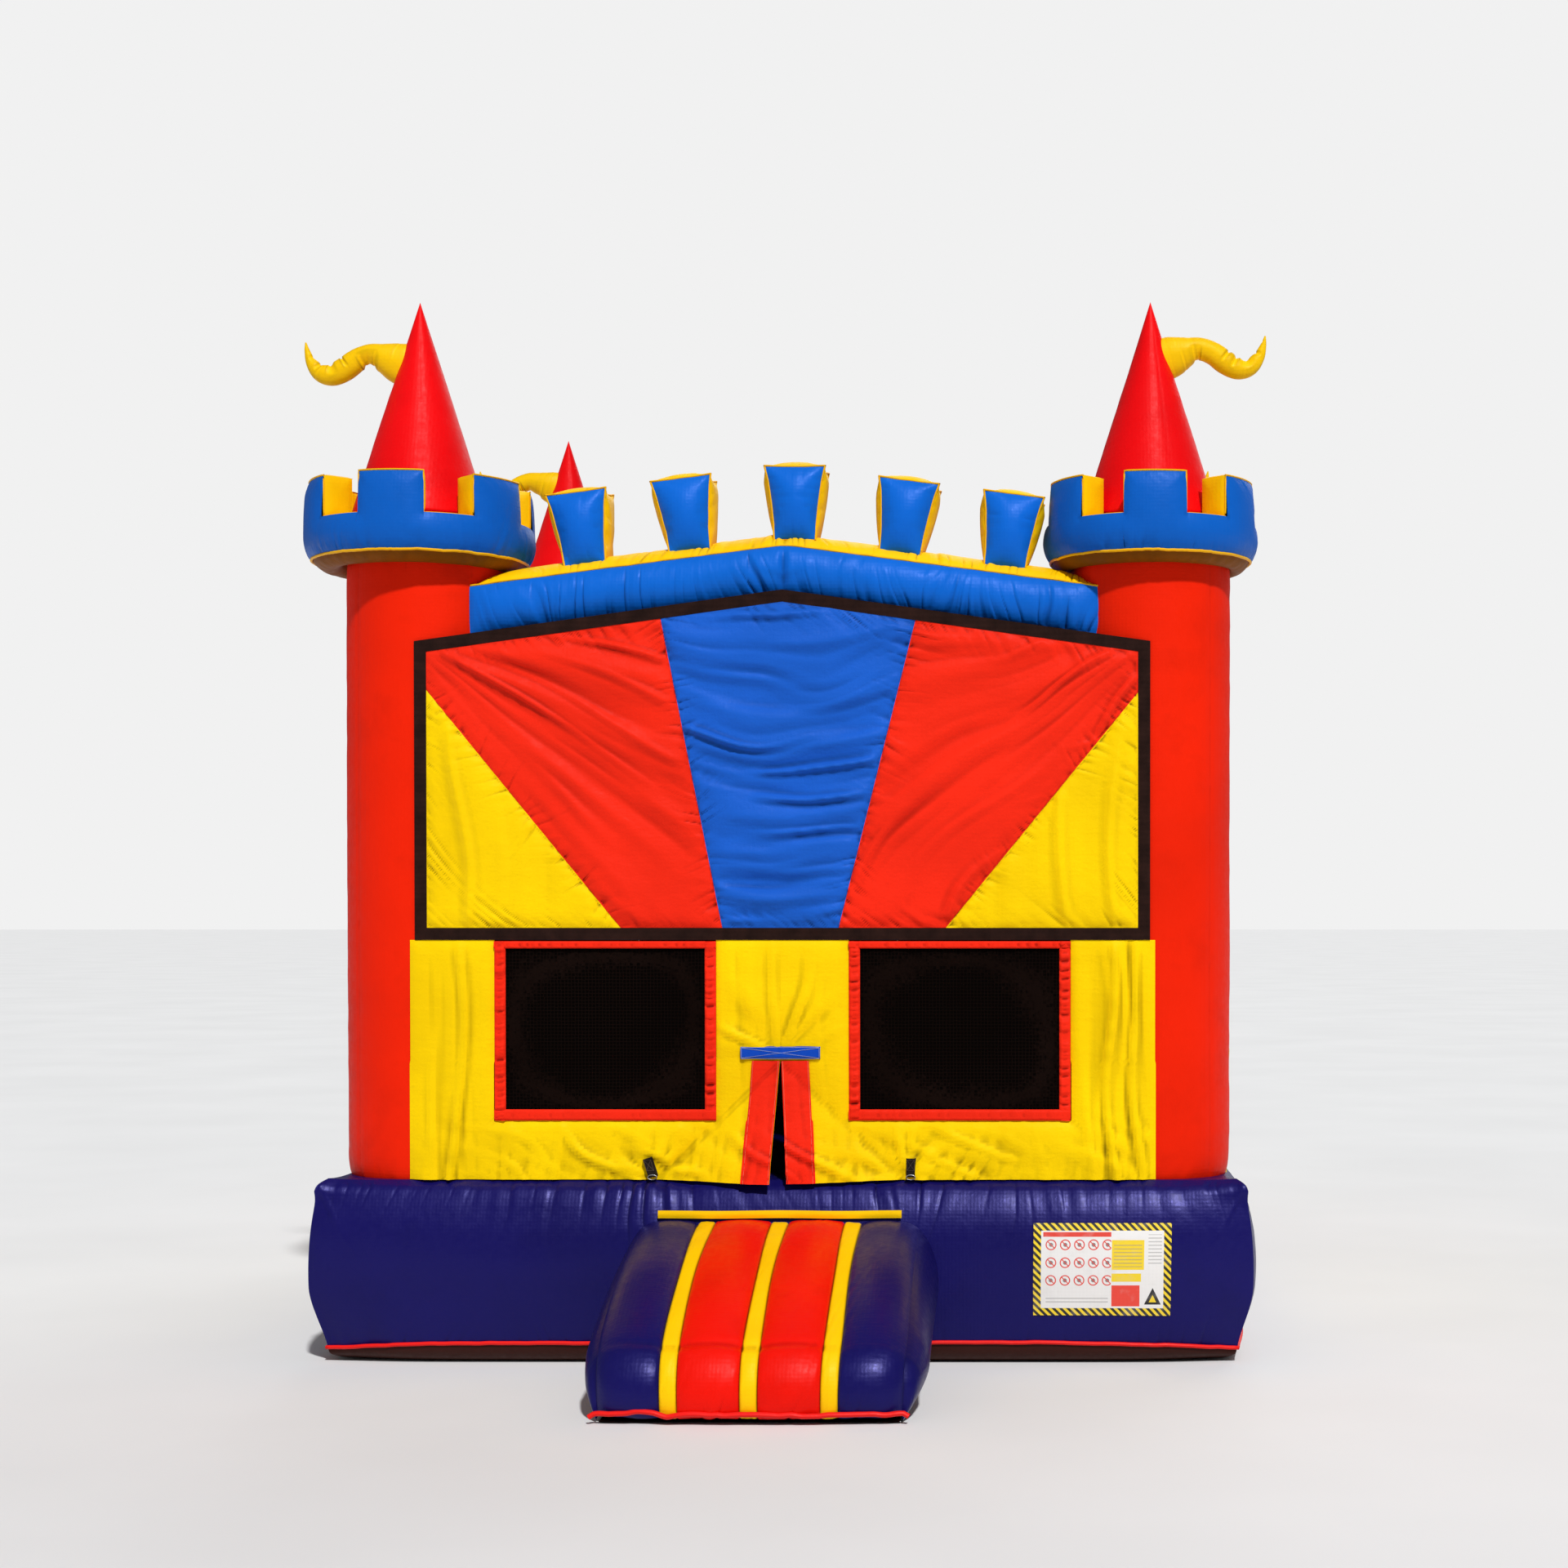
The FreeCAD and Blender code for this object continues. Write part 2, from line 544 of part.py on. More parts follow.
def build_walls():
    save("front_wall_lower", *lower_wall_half(-1), *lower_wall_half(1))
    left_top, left_low, right_top, right_low = DOOR_X - 3, DOOR_X - 57, DOOR_X + 3, DOOR_X + 5
    save("door_flap_left", flap(-1, left_top, left_low))
    save("door_flap_right", flap(1, right_top, right_low))
    save("door_hem_left", flap_hem(-1, left_top, left_low))
    save("door_hem_right", flap_hem(1, right_top, right_low))
    header = [(DOOR_X - 165, 1250), (DOOR_X + 165, 1250), (DOOR_X + 165, 1305), (DOOR_X - 165, 1305)]
    save("door_header", sewn(header, TAPE, TAPE))
    frames, nets = [], []
    for side in (-1, 1):
        x0, x1 = sorted((side * WINDOW_IN, side * WINDOW_OUT))
        frames.append(window_ring(x0, x1, WINDOW_LOW, FRAME_Z, 30.0))
        nets.append(net(x0, x1, WINDOW_LOW, FRAME_Z))
        for angle in (90, 180, -90):
            frames.append(turned(window_ring(x0, x1, WINDOW_LOW, TALL_WINDOW_TOP, STRIP), angle))
            nets.append(turned(net(x0, x1, WINDOW_LOW, TALL_WINDOW_TOP), angle))
    save("net_frames", *frames)
    save("safety_nets", *nets)
    for name, angle in (("wall_right", 90), ("wall_rear", 180), ("wall_left", -90)):
        save(name, *[turned(p, angle) for p in tall_wall(gabled=angle == 180)])
    tabs = []
    for x in (DOOR_X - 540, DOOR_X + 540):
        tabs.append(sewn([(x - 25, 754), (x + 25, 754), (x + 25, 850), (x - 25, 850)], TAPE, TAPE))
    save("hem_tabs", *tabs)


# ---- ramp: a wedge-shaped air chamber with red lanes and yellow bands on top ----
def ramp_edges(by, x):
    """Side outline of the ramp: root, crowned slope, rounded nose and flat foot."""
    root, nose = -(BASE - 60.0) - by, -(BASE + RAMP_LENGTH) + by
    crest = V(x, root, RAMP_TOP - by)
    shoulder = V(x, nose + 85, RAMP_NOSE_Z - by)
    foot = V(x, nose + 10, 12 + by)
    ground = V(x, nose + 60, by)
    heel = V(x, root, by)
    slope = arc(crest, V(x, -(BASE + 470.0), 488 - by), shoulder)
    front = arc(shoulder, V(x, nose, 120.0), foot)
    return slope, front, [line(foot, ground), line(ground, heel), line(heel, crest)]


def ramp_blank(by=0.0, half=RAMP_HALF):
    slope, front, rest = ramp_edges(by, -half + by)
    return Part.Face(Part.Wire([slope, front] + rest)).extrude(V(2 * (half - by), 0, 0))


def clear_of_base(shape):
    return solid_of(shape.cut(side_chamber(hollow=False)).cut(underside_blank()).cut(seam_welt()))


def ramp_skin(x0, x1):
    """A strip of fabric that lies on the ramp from its crest to its foot."""
    grown = Part.Face(Part.Wire(raised_outline(x0))).extrude(V(x1 - x0, 0, 0))
    return clear_of_base(grown.cut(ramp_blank()))


def raised_outline(x):
    """The ramp's side outline, a tape's thickness further out along the slope and the nose."""
    root, nose = -(BASE - 60.0), -(BASE + RAMP_LENGTH)
    crest, shoulder = V(x, root, RAMP_TOP + TAPE), V(x, nose + 83, RAMP_NOSE_Z + TAPE)
    foot, back = V(x, nose + 7, 26), V(x, nose + 120, 26)
    middle = V(x, -(BASE + 470.0) - 1, 488 + TAPE)
    return [arc(crest, middle, shoulder), arc(shoulder, V(x, nose - TAPE, 120.0), foot),
            line(foot, back), line(back, V(x, root, 300)), line(V(x, root, 300), crest)]


def ramp_welt():
    """Piping along the ramp's front edge."""
    y = -(BASE + RAMP_LENGTH) + 1
    return solid_of(Part.makeCylinder(8, 2 * RAMP_HALF - 4, V(-RAMP_HALF + 2, y, 17), V(1, 0, 0)).cut(ramp_blank()))


def build_ramp():
    outer = clear_of_base(ramp_blank())
    air = solid_of(ramp_blank(SKIN).cut(box(-900, 900, -(BASE + SKIN * 2), 0, -1, 900)))
    save("ramp_body", outer.cut(air))
    reach = (3 * BAND + 2 * LANE) / 2
    step = BAND + LANE
    bands = [ramp_skin(-reach + k * step, -reach + k * step + BAND) for k in range(3)]
    lanes = [ramp_skin(-reach + BAND + k * step, -reach + step + k * step) for k in range(2)]
    # trim tape sewn across the base just above the ramp's crest
    low, high = RAMP_TOP + 6, RAMP_TOP + 36
    cross = box(-500, 500, -(BASE + 4), -1900, low, high).cut(side_chamber(hollow=False))
    save("ramp_bands", *bands, solid_of(cross))
    save("ramp_lanes", *lanes)


# ---- small fittings ----
def build_placard():
    """A printed patch that follows the bulge of the base."""
    section = side_section(-TAPE)
    section.translate(V(1040, 0, 0))
    patch = section.extrude(V(570, 0, 0)).common(box(1000, 1700, -2100, -1800, 205, 585))
    save("rules_placard", solid_of(patch.cut(side_chamber(hollow=False))))


def build_sleeve():
    tube = sleeve_blank(SLEEVE_R).cut(sleeve_blank(SLEEVE_R - SLEEVE_WALL, SLEEVE_CUFF))
    tube = tube.cut(Part.makeCylinder(SLEEVE_R - 4, SLEEVE_CUFF - 1850, V(SLEEVE_X, 1850, SLEEVE_Z), V(0, 1, 0)))
    tube = tube.cut(turned(side_chamber(hollow=False), 180)).cut(underside_blank())
    tube = tube.cut(box(-2000, 2000, 1800, BASE - 100, 0, 400))
    save("blower_sleeve", solid_of(tube))
    mouth = SLEEVE_END - 110
    band = Part.makeCylinder(SLEEVE_R + TAPE, 40, V(SLEEVE_X, mouth, SLEEVE_Z), V(0, 1, 0))
    band = band.cut(Part.makeCylinder(SLEEVE_R, 40, V(SLEEVE_X, mouth, SLEEVE_Z), V(0, 1, 0)))
    buckle = box(SLEEVE_X - 32, SLEEVE_X + 32, mouth - 6, mouth + 46, SLEEVE_Z + SLEEVE_R - 4, SLEEVE_Z + SLEEVE_R + 14)
    buckle = buckle.cut(Part.makeCylinder(SLEEVE_R, 80, V(SLEEVE_X, mouth - 10, SLEEVE_Z), V(0, 1, 0)))
    save("sleeve_strap", solid_of(band.fuse(buckle)))


def anchor_ring():
    """D-shaped ring: a straight bar through the webbing loop and a bow hanging below it."""
    r, bend = RING_WIRE, RING_BEND
    x, drop = FACE + 4.6, 12.0
    bar = Part.makeCylinder(r, 2 * bend, V(x, -bend, RING_Z), V(0, 1, 0))
    bow = Part.makeTorus(bend, r, V(x, 0, RING_Z - drop), V(1, 0, 0))
    bow = bow.common(box(x - 10, x + 10, -60, 60, RING_Z - drop - 60, RING_Z - drop))
    whole = bar.fuse(bow)
    for y in (-bend, bend):
        whole = whole.fuse(Part.makeCylinder(r, drop, V(x, y, RING_Z - drop), V(0, 0, 1)))
        whole = whole.fuse(Part.makeSphere(r, V(x, y, RING_Z)))
    return solid_of(whole)


def anchor_tab():
    """Webbing sewn to the base, looped round the ring's bar."""
    x, wide = FACE + 4.6, 20.0
    loop = Part.makeCylinder(RING_WIRE + 3.1, 2 * wide, V(x, -wide, RING_Z), V(0, 1, 0))
    tail = box(FACE, FACE + TAPE, -wide, wide, RING_Z, RING_Z + 150)
    trimmed = loop.fuse(tail).cut(box(BASE - 40, FACE, -60, 60, 0, 700))
    return solid_of(trimmed.cut(Part.makeCylinder(RING_WIRE + 0.1, 80, V(x, -40, RING_Z), V(0, 1, 0))))


def build_anchors():
    tabs = []
    for name, (sx, sy) in CORNERS.items():
        ring, tab = anchor_ring(), anchor_tab()
        if sx < 0:
            ring, tab = mirrored(ring, V(1, 0, 0)), mirrored(tab, V(1, 0, 0))
        for piece in (ring, tab):
            piece.translate(V(0, sy * RING_Y, 0))
        save("anchor_ring_" + name, ring)
        tabs.append(tab)
    save("anchor_tabs", *tabs)


def build_zip():
    """Deflation zip across the rear of the base, under a cover flap that folds up."""
    y, z = FACE, BASE_WIDEST_Z
    tape = box(ZIP_X0 - 20, ZIP_X1 + 20, y, y + 2, z - 18, z + 18)
    teeth = box(ZIP_X0, ZIP_X1, y + 2, y + 4, z - 3, z + 3)
    hang = box(ZIP_X0 - 40, ZIP_X1 + 40, BASE - 20, y + 16, z + 50, z + 54)
    hang = hang.cut(turned(side_chamber(hollow=False), 180))
    save("zip_tape", solid_of(tape.fuse(teeth)), solid_of(hang))
    body = box(ZIP_X0 + 4, ZIP_X0 + 30, y + 2.4, y + 9, z - 9, z + 9)
    body = body.cut(box(ZIP_X0, ZIP_X0 + 40, y + 2, y + 4.5, z - 4, z + 4))
    pull = box(ZIP_X0 + 10, ZIP_X0 + 24, y + 9, y + 11, z - 34, z + 6)
    save("zip_slider", solid_of(body.fuse(pull)))
    hinge_y, hinge_z = y + 17.5, z + 46.0
    leaf = box(ZIP_X0 - 40, ZIP_X1 + 40, hinge_y - 1.5, hinge_y + 1.5, z - 48, hinge_z)
    rim = Part.makeCylinder(1.5, ZIP_X1 - ZIP_X0 + 80, V(ZIP_X0 - 40, hinge_y, hinge_z), V(1, 0, 0))
    save("zip_cover", solid_of(leaf.fuse(rim).removeSplitter()))


def main():
    build_base()
    build_floor()
    build_towers()
    build_top()
    build_rays()
    build_border()
    build_walls()
    build_ramp()
    build_placard()
    build_sleeve()
    build_anchors()
    build_zip()


main()
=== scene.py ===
import math

import bmesh
import bpy
import numpy as np
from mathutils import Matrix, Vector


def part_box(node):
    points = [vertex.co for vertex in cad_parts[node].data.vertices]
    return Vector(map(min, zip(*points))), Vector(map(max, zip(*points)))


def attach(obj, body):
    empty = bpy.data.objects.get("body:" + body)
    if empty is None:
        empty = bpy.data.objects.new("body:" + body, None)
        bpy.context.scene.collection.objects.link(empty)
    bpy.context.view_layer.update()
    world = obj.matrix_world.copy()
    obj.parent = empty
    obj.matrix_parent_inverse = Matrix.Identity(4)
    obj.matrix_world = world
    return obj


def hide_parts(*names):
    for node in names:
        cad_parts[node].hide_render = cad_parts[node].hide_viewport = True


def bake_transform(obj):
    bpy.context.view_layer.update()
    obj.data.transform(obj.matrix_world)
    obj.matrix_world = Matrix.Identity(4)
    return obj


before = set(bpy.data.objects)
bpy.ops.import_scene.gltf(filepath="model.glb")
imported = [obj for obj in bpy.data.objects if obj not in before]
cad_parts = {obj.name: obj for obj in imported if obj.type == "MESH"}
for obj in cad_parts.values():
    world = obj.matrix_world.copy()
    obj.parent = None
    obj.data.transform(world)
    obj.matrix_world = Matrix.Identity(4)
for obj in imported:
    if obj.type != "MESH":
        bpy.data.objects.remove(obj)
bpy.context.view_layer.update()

PI = math.pi


# ---------------------------------------------------------------- noise and creases
def hashed(ix, iy, seed):
    """A repeatable value from 0 to 1 for each cell."""
    h = np.sin(ix * 127.1 + iy * 311.7 + seed * 74.7) * 43758.5453
    return h - np.floor(h)


def noise(x, y=0.0, seed=0):
    """Smooth value noise from -1 to 1."""
    x, y = np.broadcast_arrays(np.asarray(x, float), np.asarray(y, float))
    ix, iy = np.floor(x), np.floor(y)
    fx, fy = x - ix, y - iy
    fx, fy = fx * fx * (3 - 2 * fx), fy * fy * (3 - 2 * fy)
    low = hashed(ix, iy, seed) * (1 - fx) + hashed(ix + 1, iy, seed) * fx
    high = hashed(ix, iy + 1, seed) * (1 - fx) + hashed(ix + 1, iy + 1, seed) * fx
    return 2 * (low * (1 - fy) + high * fy) - 1


def creases(s, d, pitch, reach, seed=0):
    """Puckers that start on a seam and die away from it: s runs along the seam, d is the distance from it."""
    d = np.abs(d)
    lean = 0.55 * noise(s / (pitch * 9), 0, seed + 5)
    at = (s + lean * d) / pitch + 0.4 * noise(s / (pitch * 4), d / 0.12, seed + 3)
    broad = noise(at, 0, seed)
    valley = np.clip(1 - 2.4 * np.abs(noise(at * 0.83 + 0.37, 0, seed + 7)), 0, 1) ** 1.4
    own = reach * (0.40 + 1.1 * (0.5 + 0.5 * noise(s / (pitch * 2.2), 0, seed + 1)) ** 2)
    strength = 0.55 + 0.45 * noise(s / (pitch * 6), 0, seed + 2)
    return (0.65 * broad - 0.95 * valley) * np.exp(-(d / own) ** 1.3) * (0.35 + strength)


def folds(p, q, seed=0):
    """Uneven set-in folds: p counts them across, q runs along them."""
    p = p + 0.5 * noise(p * 0.3, q * 1.1, seed + 1)
    main = noise(p, q * 0.8, seed)
    fine = noise(p * 2.3 + 5, q * 1.1, seed + 2)
    near = p * 0.55 + 0.4 * noise(q * 0.9, 0, seed + 6)
    cell = np.abs(near - np.floor(near) - 0.5) * 2
    fade = np.clip(0.35 + 1.3 * noise(np.floor(near + 0.5) * 3.7, q * 0.7, seed + 4), 0, 1)
    ridge = np.clip(1 - 2.6 * (1 - cell), 0, 1) * fade
    return 0.60 * main + 0.30 * fine + 1.25 * ridge ** 1.5 - 0.20


def ease(t):
    """Smooth step from 0 to 1."""
    t = np.clip(t, 0, 1)
    return t * t * (3 - 2 * t)


def rise(d, reach):
    """0 on a seam, 1 well away from it."""
    return 1 - np.exp(-np.maximum(d, 0) / reach)


# ---------------------------------------------------------------- mesh building
def stack(x, y, z):
    """Coordinates as one array of points."""
    return np.stack(np.broadcast_arrays(x, y, z), axis=-1).astype(float)


class Skin:
    """Collects grids of points into one mesh. Grids stay apart, so a seam between two stays crisp."""

    def __init__(self):
        self.points, self.faces, self.slots = [], [], []

    def grid(self, P, slot=0, flip=False, wrap=False, keep=None):
        nu, nv = P.shape[:2]
        start = sum(len(p) for p in self.points)
        self.points.append(P.reshape(-1, 3))
        iu = np.arange(nu if wrap else nu - 1)
        i, j = np.meshgrid(iu, np.arange(nv - 1), indexing="ij")
        k = (i + 1) % nu
        quads = np.stack([i * nv + j, k * nv + j, k * nv + j + 1, i * nv + j + 1], axis=-1) + start
        if keep is not None:
            quads = quads[keep]
        quads = quads.reshape(-1, 4)
        if flip:
            quads = quads[:, ::-1]
        self.faces.append(quads)
        self.slots.append(np.full(len(quads), slot))

    def tube(self, path, radius, slot=0, sides=8, closed=False):
        """A round bead along a line of points."""
        path = np.asarray(path, float)
        ahead = np.roll(path, -1, 0) - np.roll(path, 1, 0)
        if not closed:
            ahead[0], ahead[-1] = path[1] - path[0], path[-1] - path[-2]
        ahead /= np.linalg.norm(ahead, axis=1, keepdims=True)
        side = np.cross(ahead, [0.0, 0.0, 1.0])
        weak = np.linalg.norm(side, axis=1) < 0.2
        side[weak] = np.cross(ahead[weak], [0.0, 1.0, 0.0])
        side /= np.linalg.norm(side, axis=1, keepdims=True)
        over = np.cross(side, ahead)
        a = np.linspace(0, 2 * PI, sides + 1)
        r = np.broadcast_to(radius, len(path))[:, None, None]
        ring = side[:, None] * np.cos(a)[None, :, None] + over[:, None] * np.sin(a)[None, :, None]
        self.grid(path[:, None] + ring * r, slot, flip=True, wrap=closed)

    def build(self, name, materials, body="castle"):
        mesh = bpy.data.meshes.new(name)
        points, faces = np.concatenate(self.points), np.concatenate(self.faces)
        mesh.from_pydata(points.tolist(), [], faces.tolist())
        mesh.polygons.foreach_set("material_index", np.concatenate(self.slots).astype(np.int32))
        mesh.polygons.foreach_set("use_smooth", [True] * len(faces))
        for m in materials:
            mesh.materials.append(m)
        mesh.validate()
        obj = bpy.data.objects.new(name, mesh)
        bpy.context.scene.collection.objects.link(obj)
        if body:
            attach(obj, body)
        return obj


def turn(P, quarter):
    """P turned about the vertical axis by a number of quarter turns."""
    c, s = [(1, 0), (0, 1), (-1, 0), (0, -1)][quarter % 4]
    return np.stack([c * P[..., 0] - s * P[..., 1], s * P[..., 0] + c * P[..., 1], P[..., 2]], axis=-1)


# ---------------------------------------------------------------- finished meshes
MOST_SWELL = 0.035       # how far the simulation may move a point


def inflate(pieces, frames, pressure):
    """Cloth simulation under air pressure, all pieces together, with the result kept in the meshes."""
    scene = bpy.context.scene
    for obj, held in pieces:
        obj.vertex_groups.new(name="held").add(held, 1.0, "REPLACE")
        cloth = obj.modifiers.new("Cloth", "CLOTH")
        cloth.settings.vertex_group_mass = "held"
        cloth.settings.quality = 7
        cloth.settings.mass = 0.25
        cloth.settings.tension_stiffness = cloth.settings.compression_stiffness = 60
        cloth.settings.shear_stiffness = 25
        cloth.settings.bending_stiffness = 0.3
        cloth.settings.air_damping = 3
        cloth.settings.use_pressure = True
        cloth.settings.uniform_pressure_force = pressure
        cloth.settings.effector_weights.gravity = 0.0
        cloth.collision_settings.use_collision = False
        cloth.point_cache.frame_start, cloth.point_cache.frame_end = 1, frames
    for f in range(1, frames + 1):
        scene.frame_set(f)
    deps = bpy.context.evaluated_depsgraph_get()
    for obj, _ in pieces:
        start = coords(obj)
        moved = np.empty(len(obj.data.vertices) * 3)
        obj.evaluated_get(deps).data.vertices.foreach_get("co", moved)
        step = moved.reshape(-1, 3) - start
        size = np.linalg.norm(step, axis=1, keepdims=True)
        step *= np.minimum(1, MOST_SWELL / np.maximum(size, 1e-9))
        obj.modifiers.remove(obj.modifiers["Cloth"])
        obj.vertex_groups.clear()
        set_coords(obj, start + step)
    scene.frame_set(1)


def coords(obj):
    """The mesh's points as an array."""
    co = np.empty(len(obj.data.vertices) * 3)
    obj.data.vertices.foreach_get("co", co)
    return co.reshape(-1, 3)


def set_coords(obj, co):
    obj.data.vertices.foreach_set("co", np.asarray(co, float).ravel())
    obj.data.update()


def subdivide(obj):
    """One level of subdivision, kept in the mesh."""
    mod = obj.modifiers.new("Subdivide", "SUBSURF")
    mod.levels = mod.render_levels = 1
    deps = bpy.context.evaluated_depsgraph_get()
    mesh = bpy.data.meshes.new_from_object(obj.evaluated_get(deps))
    obj.modifiers.remove(mod)
    obj.data = mesh


# ---------------------------------------------------------------- materials
def linear(r, g, b):
    """A display colour, 0 to 255, as the shader wants it."""
    f = [v / 255 for v in (r, g, b)]
    return [v / 12.92 if v < 0.04045 else ((v + 0.055) / 1.055) ** 2.4 for v in f] + [1.0]


def shade(rgba, k):
    """The colour, darker or lighter by a factor."""
    return [min(v * k, 1.0) for v in rgba[:3]] + [1.0]


class Nodes:
    """A small helper to wire a material."""

    def __init__(self, name):
        self.material = bpy.data.materials.new(name)
        self.material.use_nodes = True
        self.tree = self.material.node_tree
        self.bsdf = self.tree.nodes["Principled BSDF"]
        self.where = self.add("ShaderNodeTexCoord").outputs["Object"]

    def add(self, kind, **values):
        node = self.tree.nodes.new(kind)
        for key, value in values.items():
            if hasattr(node, key):
                setattr(node, key, value)
            else:
                node.inputs[key.replace("_", " ")].default_value = value
        return node

    def set(self, socket, value):
        """Puts a constant straight on one of the shader's sockets."""
        self.bsdf.inputs[socket].default_value = value

    def link(self, a, b):
        self.tree.links.new(a, b)

    def noise(self, scale, detail=3.0, stretch=None, rough=0.5):
        node = self.add("ShaderNodeTexNoise", Scale=scale, Detail=detail, Roughness=rough)
        source = self.where
        if stretch:
            mapping = self.add("ShaderNodeMapping", Scale=stretch)
            self.link(source, mapping.inputs["Vector"])
            source = mapping.outputs["Vector"]
        self.link(source, node.inputs["Vector"])
        return node.outputs["Fac"]

    def spread(self, value, low, high, start=0.3, stop=0.7):
        node = self.add("ShaderNodeMapRange")
        for key, v in (("From Min", start), ("From Max", stop), ("To Min", low), ("To Max", high)):
            node.inputs[key].default_value = v
        self.link(value, node.inputs["Value"])
        return node.outputs["Result"]

    def math(self, op, a, b=None, c=None):
        node = self.add("ShaderNodeMath", operation=op)
        for k, v in enumerate((a, b, c)):
            if v is None:
                continue
            if isinstance(v, (int, float)):
                node.inputs[k].default_value = v
            else:
                self.link(v, node.inputs[k])
        return node.outputs[0]

    def plus(self, a, b):
        return self.math("ADD", a, b)

    def minus(self, a, b):
        return self.math("SUBTRACT", a, b)

    def times(self, a, b):
        return self.math("MULTIPLY", a, b)

    def above(self, a, b):
        return self.math("GREATER_THAN", a, b)

    def below(self, a, b):
        return self.math("LESS_THAN", a, b)

    def mix(self, fac, a, b):
        node = self.add("ShaderNodeMix", data_type="RGBA")
        for k, v in ((0, fac), (6, a), (7, b)):
            if isinstance(v, (int, float, list, tuple)):
                node.inputs[k].default_value = v
            else:
                self.link(v, node.inputs[k])
        return node.outputs[2]

    def bump(self, layers):
        """layers are (height, distance in metres, strength)."""
        last = None
        for height, distance, strength in layers:
            node = self.add("ShaderNodeBump", Distance=distance, Strength=strength)
            self.link(height, node.inputs["Height"])
            if last:
                self.link(last, node.inputs["Normal"])
            last = node.outputs["Normal"]
        self.link(last, self.bsdf.inputs["Normal"])


def tint_highlights_and_paint_crease_shade(n, base, tint, painted_shade_factor):
    """Highlights tinted with the base colour, and painted shade: colour darkened in the concave puckers and along the
    seams.
    """
    top = max(base[:3])
    n.set("Specular Tint", [0.30 + 0.70 * c / top for c in base[:3]] + [1.0])
    # painted shade: low pointiness marks concave puckers and seams, which get the darker colour
    depth = n.spread(n.add("ShaderNodeNewGeometry").outputs["Pointiness"], 0.0, 1.0, 0.44, 0.498)
    n.link(n.mix(depth, shade(base, painted_shade_factor), tint), n.bsdf.inputs["Base Color"])


def weave(n, threads=420.0):
    """Height of a plain weave: threads across, threads up and down, threads in depth."""
    waves = []
    for direction in ("X", "Y", "Z"):
        w = n.add("ShaderNodeTexWave", wave_type="BANDS", bands_direction=direction, Scale=threads / 20,
                  Distortion=0.6)
        w.inputs["Detail"].default_value = 1.0
        n.link(n.where, w.inputs["Vector"])
        waves.append(w.outputs["Fac"])
    return n.plus(n.plus(waves[0], waves[1]), waves[2])


def vinyl(name, rgb, rough=0.40, mottle=0.07, soft=0.30, weaving=0.25, dark=0.80, coat=0.0, gloss=0.30, painted_shade_factor=0.22):
    """Coated vinyl fabric: scrim weave under a semi-gloss skin, handling creases, faint scuffs and dust."""
    n = Nodes(name)
    base = linear(*rgb)
    broad, fine = n.noise(1.7, 4.0), n.noise(38.0, 5.0)
    tint = n.mix(n.spread(broad, 0.0, 1.0), shade(base, 1 - mottle), shade(base, 1 + mottle))
    scuff = n.spread(n.noise(5.0, 6.0, rough=0.6), 0.0, 0.6, 0.52, 0.80)
    tint = n.mix(scuff, tint, shade(base, dark))
    # painted shade in the puckers and along the seams
    tint_highlights_and_paint_crease_shade(n, base, tint, painted_shade_factor)
    n.link(n.spread(fine, rough - 0.06, rough + 0.08), n.bsdf.inputs["Roughness"])
    n.set("Specular IOR Level", gloss)
    n.set("Coat Weight", coat)
    n.set("Coat Roughness", 0.28)
    handling = n.noise(6.5, 6.0, rough=0.6)
    n.bump([(handling, 0.012, soft), (n.noise(55.0, 4.0), 0.0015, 0.35), (weave(n), 0.0005, weaving)])
    return n.material


def canvas(name, rgb, rough=0.55, soft=0.5):
    """Uninflated panel vinyl: softer, with more of the scrim and of small set-in wrinkles showing."""
    n = Nodes(name)
    base = linear(*rgb)
    tint = n.mix(n.spread(n.noise(2.3, 5.0), 0.0, 1.0), shade(base, 0.88), shade(base, 1.06))
    grain = n.spread(n.noise(160.0, 3.0), 0.0, 0.35, 0.35, 0.75)
    tint = n.mix(grain, tint, shade(base, 0.82))
    # painted shade in the puckers and along the seams
    tint_highlights_and_paint_crease_shade(n, base, tint, 0.20)
    n.link(n.spread(n.noise(24.0, 4.0), rough - 0.09, rough + 0.08), n.bsdf.inputs["Roughness"])
    n.set("Specular IOR Level", 0.12)
    n.set("Sheen Weight", 0.02)
    wrinkle = n.noise(5.0, 7.0, stretch=(1.0, 1.0, 1.8), rough=0.62)
    n.bump([(wrinkle, 0.014, soft), (n.noise(75.0, 4.0), 0.002, 0.4), (weave(n, 360), 0.0005, 0.18)])
    return n.material


def webbing(name, rgb, rib=140.0):
    """Woven tape: ribs across a hairy, slightly faded face."""
    n = Nodes(name)
    base = linear(*rgb)
    fade = n.noise(14.0, 6.0)
    n.link(n.mix(n.spread(fade, 0.0, 1.0), shade(base, 0.7), shade(base, 1.5)), n.bsdf.inputs["Base Color"])
    n.set("Roughness", 0.9)
    n.set("Sheen Weight", 0.04)
    n.set("Specular IOR Level", 0.08)
    n.bump([(weave(n, rib * 2), 0.0012, 0.7), (n.noise(420.0, 2.0), 0.0008, 0.6)])
    return n.material


